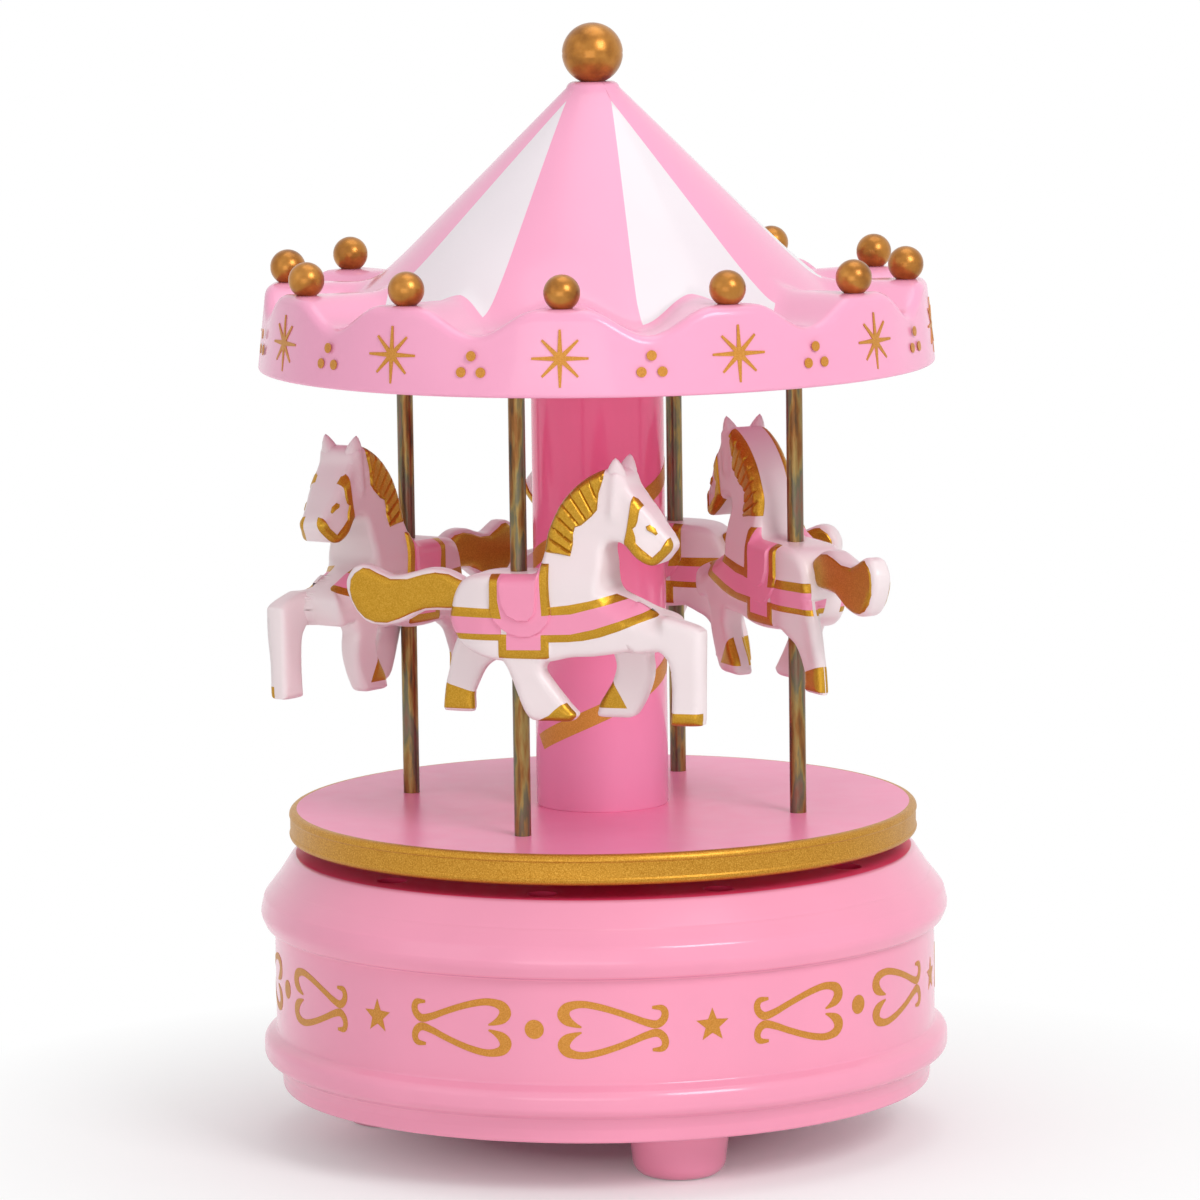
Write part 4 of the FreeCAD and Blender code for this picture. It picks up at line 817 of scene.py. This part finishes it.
# Painted areas in the order they are laid on: paint, how far it stands proud, outline
BODY_PAINT = (
    (GOLD, 0.1, ((-12, 17.2), (-1, 17.3), (-1, 12.4), (-12, 12.2))),
    (ROSE, 0.1, ((-12, 15.7), (-1, 15.9), (-1, 13.4), (-12, 13.1))),
    (GOLD, 0.1, ((5, 17.8), (7.3, 17.9), (10.2, 18.3), (13.5, 19), (17.1, 20), (17.9, 20.2), (19.3, 19.4),
        (24.2, 17.2), (24, 16.8), (21.6, 15.9), (18.5, 14.6), (15.3, 13.5), (12.6, 12.9), (10.1, 12.6),
        (5, 12.3))),
    (ROSE, 0.1, ((5, 16.6), (7.3, 16.6), (10.6, 16.9), (13.5, 17.7), (16.5, 18.5), (19, 19.3), (20.4, 19.4),
        (22.8, 17.9), (21.7, 17.3), (18.5, 16.1), (14.3, 14.7), (10.5, 13.8), (5, 13.5))),
    (GOLD, 0.15, ((-1.5, 13.4), (6.9, 13.4), (6.9, 10), (6.4, 9.8), (1.6, 9.7), (-1.5, 9.7))),
    (ROSE, 0.15, ((-0.1, 13.6), (5.6, 13.6), (5.6, 11.2), (1.6, 11.05), (-0.1, 11))),
    (ROSE, 0.45, ((-2.9, 24.5), (-2.9, 18.5), (-3, 17.2), (-2.3, 15.5), (-1.1, 14.3), (0.3, 13.4),
        (2.4, 12.95), (4, 13.1), (5.7, 13.95), (6.9, 15.3), (7.4, 16.8), (7.1, 19), (6.8, 24.5))),
    (GOLD, 0.45, ((-2.9, 24.5), (-1.4, 24.5), (-1.4, 18.6), (-0.8, 15.8), (-2.5, 15.9), (-2.95, 17.2))),
    (GOLD, 0.45, ((5.4, 24.5), (6.8, 24.5), (7.1, 19), (7.4, 16.7), (5.9, 16.5))),
    (ROSE, 0.9, ((-1.15, 24.5), (5.4, 24.5), (5.1, 18), (4.8, 16.6), (3.8, 15.6), (1.9, 15.55), (0.2, 16.3),
        (-0.8, 18.2), (-1.1, 20.2))),
    (GOLD, 0.35, ((15.7, 39.8), (15.7, 38.9), (15.6, 37.8), (14.8, 35.5), (14.5, 32.9), (13.6, 31.9),
        (11.9, 30.5), (10.8, 30.1), (10.5, 29), (10.5, 27.5), (10.2, 25.7), (8.3, 26), (4.6, 26.3), (4, 30),
        (7, 36), (12, 40))),
    (GOLD, 0.25, ((20.3, 35.2), (21.9, 34), (21.4, 33.1), (21.1, 31.4), (20.8, 30.6), (20.3, 30.2),
        (20.7, 29), (20.8, 28), (21.8, 27.1), (23.4, 25.9), (24.5, 27), (25.4, 28.6), (26, 29.2),
        (27.2, 28.2), (26.8, 27.1), (25.6, 25.8), (24.1, 24), (22.6, 24), (20.6, 25.4), (18.6, 27.3),
        (19.2, 29.7), (19.7, 32.5), (20, 34.3))),
    (GOLD, 0.3, ((22.3, 30.6), (22.9, 30.9), (23.7, 30.3), (24.1, 29.5), (23.8, 29.2), (23.1, 29.7),
        (22.5, 30))),
)
TAIL_PAINT = (
    (GOLD, 0.2, ((-27, 21.5), (-25.6, 22.4), (-24.6, 22.3), (-23.1, 21.6), (-21, 20.8), (-18.1, 20.9),
        (-15.5, 21.7), (-13.4, 22.1), (-11.2, 21.9), (-8, 20.5), (-7, 17), (-11.3, 16.6), (-13.3, 16.6),
        (-15.2, 16.4), (-17.4, 15.6), (-19.6, 14.6), (-21.7, 13.9), (-23.7, 13.9), (-25.4, 14.5),
        (-26.7, 15.7), (-27.6, 17.3), (-27.9, 18.9), (-27.7, 20.5))),
)
OUTER_HOOVES = (
    (GOLD, 0.1, ((25, -1), (33, -1), (33, 2.3), (25, 2.15))),
    (GOLD, 0.1, ((4.4, -1), (4.4, 0), (6.5, 1), (7.6, 2), (8.5, 2.7), (9.6, 3.2), (12, 1), (12, -1))),
)
INNER_HOOVES = (
    (GOLD, 0.1, ((-15, 0.5), (-15, 5), (-13.2, 4.5), (-8.3, 3.1), (-7, 2.8), (-7, 0.5))),
    (GOLD, 0.1, ((14.6, 6), (13, 6), (11, 2.4), (11, 1.6), (17.1, 1.7), (16.2, 3.3))),
)
MANE_MIDDLE, MANE_FIRST, MANE_LAST, MANE_GROOVES = np.array((20.5, 20.5)), 107, 157, 9
MANE_INNER, MANE_OUTER, HALF_GROOVE, GROOVE_DEPTH = 11, 22, 0.26, 0.3
BODY_ROUND, TAIL_ROUND, TAIL_HALF, LEG_INNER_SIDE = 1.1, 0.9, 1.6, 1.4
SPACING, BORDER_SPACING, PAINT_STEP = 0.7, 0.5, 0.2


def edge_distance(points, starts, ends):
    """Each point's distance to the nearest of some straight edges."""
    way = ends - starts
    length = (way ** 2).sum(1)
    out = np.empty(len(points))
    for index, point in enumerate(points):
        share = np.clip(((point - starts) * way).sum(1) / length, 0, 1)
        out[index] = np.sqrt(((starts + way * share[:, None] - point) ** 2).sum(1).min())
    return out


def loop_distance(points, loop):
    line = np.array(loop, float)
    return edge_distance(points, line, np.roll(line, -1, axis=0))


def dense(loop, spacing):
    """An outline with points no further apart than a spacing."""
    line = []
    for a, b in zip(loop, list(loop[1:]) + [loop[0]]):
        count = max(1, math.ceil(math.dist(a, b) / spacing))
        line += [(a[0] + (b[0] - a[0]) * k / count, a[1] + (b[1] - a[1]) * k / count) for k in range(count)]
    return line


def drawn_in(loop, depth):
    """The points of a closed outline moved inwards, square to the way between their neighbours."""
    line = np.array(loop, float)
    ahead = np.roll(line, -1, axis=0)
    way = ahead - np.roll(line, 1, axis=0)
    turn = np.sign((line[:, 0] * ahead[:, 1] - line[:, 1] * ahead[:, 0]).sum())
    square = np.stack([-way[:, 1], way[:, 0]], axis=1) * turn
    return line + depth * square / np.linalg.norm(square, axis=1)[:, None]


def triangles(lines, loose, shape):
    """Points and triangles over the area of all the shape's outlines, with edges along the lines."""
    points, edges = loop_edges(lines)
    points += [Vector(point) for point in loose]
    made = delaunay_2d_cdt(points, edges, [], 0, 1e-5)
    flat = np.array([tuple(point) for point in made[0]])
    middles = np.array([flat[list(face)].mean(axis=0) for face in made[2]])
    solid = np.any([within(middles, loop) for loop in shape], axis=0)
    faces = [list(face) for face, good in zip(made[2], solid) if good]
    used = sorted({corner for face in faces for corner in face})
    number = {corner: index for index, corner in enumerate(used)}
    return flat[used], [[number[corner] for corner in face] for face in faces]


def mane_lines():
    """The grooves of the mane, as lines that fan out from a point in the chest."""
    lines = []
    for index in range(MANE_GROOVES):
        angle = math.radians(MANE_FIRST + (MANE_LAST - MANE_FIRST) * index / (MANE_GROOVES - 1))
        way = np.array([math.cos(angle), math.sin(angle)])
        lines.append((MANE_MIDDLE + MANE_INNER * way, MANE_MIDDLE + MANE_OUTER * way))
    return lines


def relief_points(flat, rim, shape, borders, grooves, round_edge):
    """Points for a half's surface: an even grid, and rows along its rim, painted areas and grooves."""
    low, high = flat.min(axis=0), flat.max(axis=0)
    grid = []
    for row, z in enumerate(np.arange(low[1], high[1], SPACING * 0.87)):
        grid += [(u, z) for u in np.arange(low[0] + SPACING / 2 * (row % 2), high[0], SPACING)]
    grid = np.array(grid)
    clear = edge_distance(grid, *rim) > SPACING * 0.4
    for border in borders:
        clear &= loop_distance(grid, border) > 0.45
    rows = [grid[clear]]
    for share in (0.08, 0.3, 0.6):
        for loop in shape:
            near = drawn_in(loop, round_edge * share)
            rows.append(near[edge_distance(near, *rim) > 0.85 * share * round_edge])
    for border in borders:
        near = drawn_in(border, PAINT_STEP)
        near = near[edge_distance(near, *rim) > PAINT_STEP]
        rows.append(near[loop_distance(near, border) > 0.8 * PAINT_STEP])
    steps = 26
    for start, end in grooves:
        across = np.array([start[1] - end[1], end[0] - start[0]])
        across /= np.linalg.norm(across)
        for shift in (-HALF_GROOVE, 0, HALF_GROOVE):
            rows.append([start + (end - start) * k / steps + across * shift for k in range(steps + 1)])
    return np.vstack(rows)


def relief(outlines, outer_face, round_edge, regions, side, grooves=()):
    """One moulded half with rounded edges and raised painted areas: points, faces and each face's paint.

    The first outline's half reaches to the middle plane; outlines after it, the legs, have an inner side.
    """
    shape = [smooth_loop(corners, 5) for corners in outlines]
    borders = [dense(outline, BORDER_SPACING) for _, _, outline in regions]
    flat, faces = triangles(shape, [], shape)
    rim = [flat[[edge[end] for edge in open_edges(faces)]] for end in (0, 1)]
    loose = relief_points(flat, rim, shape, borders, grooves, round_edge)
    flat, faces = triangles(shape + borders, loose, shape)
    middles = np.array([flat[face].mean(axis=0) for face in faces])
    paint = np.zeros(len(faces), int)
    raised = np.zeros(len(flat))
    for (colour, proud, outline), border in zip(regions, borders):
        paint[within(middles, outline)] = colour
        climb = np.clip(loop_distance(flat, border) / PAINT_STEP, 0, 1)
        raised = np.where(within(flat, outline), raised + (proud - raised) * climb, raised)
    for start, end in grooves:
        sunk = GROOVE_DEPTH * np.clip(1 - edge_distance(flat, start[None], end[None]) / HALF_GROOVE, 0, 1)
        raised = np.where(raised > 0.2, raised - sunk, raised)
    depth = edge_distance(flat, *rim)
    fall = round_edge - np.sqrt(round_edge ** 2 - np.clip(round_edge - depth, 0, round_edge) ** 2)
    outer = np.array([outer_face(u, z) for u, z in flat]) - fall + raised * np.clip(depth / round_edge, 0, 1)
    middle = within(flat, shape[0]) | (loop_distance(flat, shape[0]) < 0.02)
    inner = np.where(middle, 0, LEG_INNER_SIDE + 0.7 * fall)
    sheets = [[(u, side * y, z) for (u, z), y in zip(flat, across)] for across in (outer, inner)]
    solid, plate = thicken(*(sheets if side < 0 else sheets[::-1]), faces)
    paint = list(paint)
    inner_paint = paint if side > 0 else [WHITE] * len(paint)
    return solid, plate, paint + inner_paint + [WHITE] * (len(plate) - 2 * len(paint))


def ease(value, low, high):
    share = min(max((value - low) / (high - low), 0), 1)
    return share * share * (3 - 2 * share)


def horse_half_width(u, z):
    """Wide at the barrel; narrower at the rump, the neck, the muzzle, the hooves and the chest's front."""
    rump = 1.3 * ease(-u, 3, 10.5)
    neck = 1.7 * ease(z, 20.5, 29)
    muzzle = 1.1 * ease(u, 20, 26) * ease(z, 22, 25)
    hooves = 0.4 * (1 - ease(z, 5, 11))
    below_chest = ((15.5 - u) * 4 + (21 - z) * 9) / math.hypot(4, 9)
    chest = 2.4 * (1 - ease(below_chest, 0, 3.4)) * ease(u, 14, 17)
    chest *= (1 - ease(u, 23, 26)) * (1 - ease(z, 19, 23))
    cheek = abs(u - 16.9 - 0.1 * (z - 31.5))
    jaw = 0.5 * math.exp(-(cheek / 0.8) ** 2) * ease(z, 30.5, 33)
    return 5.1 - rump - neck - muzzle - hooves - chest + jaw


def make_ear(side):
    """A short rounded ear at the side of the head."""
    foot, tip = Vector((17.1, side * 1.7, 36.8)), Vector((17.5, side * 3.0, 41.0))
    long_half, wide_half, count = 2.0, 1.7, 12
    rings = ((0.0, 1.0), (0.4, 0.8), (0.7, 0.52), (0.9, 0.24))
    points = []
    for climb, size in rings:
        middle = foot.lerp(tip, climb)
        points += [(middle.x + long_half * size * x, middle.y + wide_half * size * y, middle.z)
                   for x, y in ring(1, count)]
    points.append(tuple(tip))
    faces = [list(range(count))[::-1]]
    last = (len(rings) - 1) * count
    for k in range(count):
        ahead = (k + 1) % count
        for low in range(0, last, count):
            faces.append([low + k, low + ahead, low + ahead + count, low + k + count])
        faces.append([last + k, last + ahead, last + count])
    return points, faces, [WHITE] * len(faces)


def horse_mesh():
    """One horse at its rod, facing along +X: two moulded halves, the tail between them and the ears."""
    parts = []
    for side, legs, hooves in ((-1, (OUTER_FORELEG, OUTER_HINDLEG), OUTER_HOOVES),
                               (1, (INNER_FORELEG, INNER_HINDLEG), INNER_HOOVES)):
        regions = BODY_PAINT + hooves
        parts.append(relief([HORSE_BODY, *legs], horse_half_width, BODY_ROUND, regions, side, mane_lines()))
        parts.append(relief([HORSE_TAIL], lambda u, z: TAIL_HALF, TAIL_ROUND, TAIL_PAINT, side))
        parts.append(make_ear(side))
    points, faces = merge([part[:2] for part in parts])
    paint = [colour for part in parts for colour in part[2]]
    return new_mesh("horse", points, faces, [HORSE_WHITE, HORSE_GOLD, SADDLE_PINK], paint, 38)


# Each horse's rod round the platform, its heading, and its hooves' height
HORSES = (
    ("front", -112, -22, 71.7), ("right", -22, 116, 73.4), ("back", 68, 158, 71.7), ("left", 158, -124, 71.7))


def make_horses():
    mesh = horse_mesh()
    for name, rod_angle, heading, height in HORSES:
        horse = bpy.data.objects.new(f"painted_horse_{name}", mesh)
        turn = math.radians(rod_angle)
        horse.location = (POLE_CIRCLE * MM * math.cos(turn), POLE_CIRCLE * MM * math.sin(turn), height * MM)
        horse.rotation_euler = (0, 0, math.radians(heading))
        bpy.context.scene.collection.objects.link(horse)
        dress(horse, "carousel", [f"horse_{name}"])


# Finishes of the pieces that keep their own shape

FINISHES = {
    BASE_PINK: ("bottom_cover",),
    ROOF_PINK: ("ceiling_plate",),
    ROD: ("pole_front", "pole_right", "pole_back", "pole_left"),
    STEEL: ("cover_screws", "movement_screws", "bracket_screws", "comb", "comb_screws", "mainspring",
            "winding_arbor", "spindle_screw", "cylinder_arbor", "idler_arbor", "worm_shaft"),
    BRASS: ("cylinder_pinion", "cylinder_wheel", "idler_pinion", "worm_wheel", "tune_cylinder", "deck_bush",
            "drive_spindle", "spring_barrel", "barrel_lid"),
    ZINC: ("movement_bedplate", "cylinder_bracket", "idler_bracket", "governor_bracket", "comb_rail"),
    NYLON: ("winding_key", "governor_fan"),
}


def finish_nodes():
    for material, names in FINISHES.items():
        for name in names:
            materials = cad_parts[name].data.materials
            materials.clear()
            materials.append(material)


# Stage, light and camera

FLOOR_HALF, FLOOR_NEAR, FLOOR_FAR = 6.0, 0.02, 0.125
WORLD_LIGHT, WORLD_SEEN = 0.5, 1.0


def seen_directly(tree):
    """1 for the rays of the camera, of reflections and of clear materials, and 0 for the light's own."""
    path = add_node(tree, "LightPath")
    seen = path.outputs["Is Camera Ray"]
    for name in ("Is Glossy Ray", "Is Transmission Ray"):
        either = math_node(tree, "MAXIMUM", seen, path.outputs[name])
        seen = either.outputs["Value"]
    return seen


def math_node(tree, operation, first, second):
    node = add_node(tree, "Math")
    node.operation = operation
    tree.links.new(first, node.inputs[0])
    tree.links.new(second, node.inputs[1])
    return node


def make_floor():
    """A pale floor that looks white to the camera and in reflections, and keeps the shadow."""
    mesh = bpy.data.meshes.new("floor")
    corners = [(x * FLOOR_HALF, y * FLOOR_HALF, 0) for x, y in ((-1, -1), (1, -1), (1, 1), (-1, 1))]
    mesh.from_pydata(corners, [], [(0, 1, 2, 3)])
    floor = bpy.data.objects.new("floor", mesh)
    bpy.context.scene.collection.objects.link(floor)
    material, shader = new_material("floor", (0.95, 0.95, 0.95), 0.9)
    tree = material.node_tree
    place = add_node(tree, "TexCoord")
    distance = add_node(tree, "VectorMath")
    distance.operation = "LENGTH"
    tree.links.new(place.outputs["Object"], distance.inputs[0])
    away = add_node(tree, "MapRange", Value=distance.outputs["Value"])
    set_values(away, {"From Min": FLOOR_NEAR, "From Max": FLOOR_FAR})
    white = math_node(tree, "MULTIPLY", away.outputs["Result"], seen_directly(tree))
    glow = add_node(tree, "Emission")
    mix = add_node(tree, "MixShader", Fac=white.outputs["Value"])
    tree.links.new(shader.outputs["BSDF"], mix.inputs[1])
    tree.links.new(glow.outputs["Emission"], mix.inputs[2])
    tree.links.new(mix.outputs["Shader"], tree.nodes["Material Output"].inputs["Surface"])
    mesh.materials.append(material)


def make_world():
    """White where the camera or a reflection sees it, and a plain soft light elsewhere."""
    world = bpy.data.worlds.new("studio")
    bpy.context.scene.world = world
    world.use_nodes = True
    tree = world.node_tree
    background = tree.nodes["Background"]
    set_values(background, {"Color": (1, 1, 1, 1)})
    level = add_node(tree, "MapRange", Value=seen_directly(tree))
    set_values(level, {"To Min": WORLD_LIGHT, "To Max": WORLD_SEEN})
    tree.links.new(level.outputs["Result"], background.inputs["Strength"])


def add_light(name, place, aim, size, watts):
    lamp = bpy.data.lights.new(name, "AREA")
    lamp.shape = "RECTANGLE"
    lamp.size, lamp.size_y = size
    lamp.energy = watts
    light = bpy.data.objects.new(name, lamp)
    light.location = place
    light.rotation_euler = (Vector(aim) - Vector(place)).to_track_quat("-Z", "Y").to_euler()
    bpy.context.scene.collection.objects.link(light)


def make_lights():
    middle = (0, 0, 0.09)
    add_light("key_softbox", (0.55, -0.75, 0.75), middle, (0.45, 0.45), 5.4)
    add_light("left_softbox", (-0.9, -0.6, 0.5), middle, (0.6, 0.8), 0.7)
    add_light("top_softbox", (0.1, 0.1, 1.1), middle, (0.7, 0.7), 2.1)
    add_light("front_fill", (-0.25, -1.25, 0.16), middle, (0.9, 0.35), 1.7)


CAMERA_PLACE, CAMERA_AIM, CAMERA_ROLL = Vector((0, -1.065, 0.228)), Vector((0, 0, 0.0855)), -0.8


def make_camera():
    """The photo's view: from the front, a little above, with a slight roll."""
    data = bpy.data.cameras.new("camera")
    data.sensor_width = 36
    data.lens = 203
    camera = bpy.data.objects.new("camera", data)
    camera.location = CAMERA_PLACE
    roll = Euler((0, 0, math.radians(CAMERA_ROLL))).to_quaternion()
    camera.rotation_euler = ((CAMERA_AIM - CAMERA_PLACE).to_track_quat("-Z", "Y") @ roll).to_euler()
    bpy.context.scene.collection.objects.link(camera)
    bpy.context.scene.camera = camera


make_base()
make_feet()
make_platform()
make_column()
make_base_prints()
make_roof_prints()
make_column_band()
make_roof()
make_balls()
make_horses()
finish_nodes()
make_floor()
make_world()
make_lights()
make_camera()
bpy.context.scene.view_settings.view_transform = "Standard"
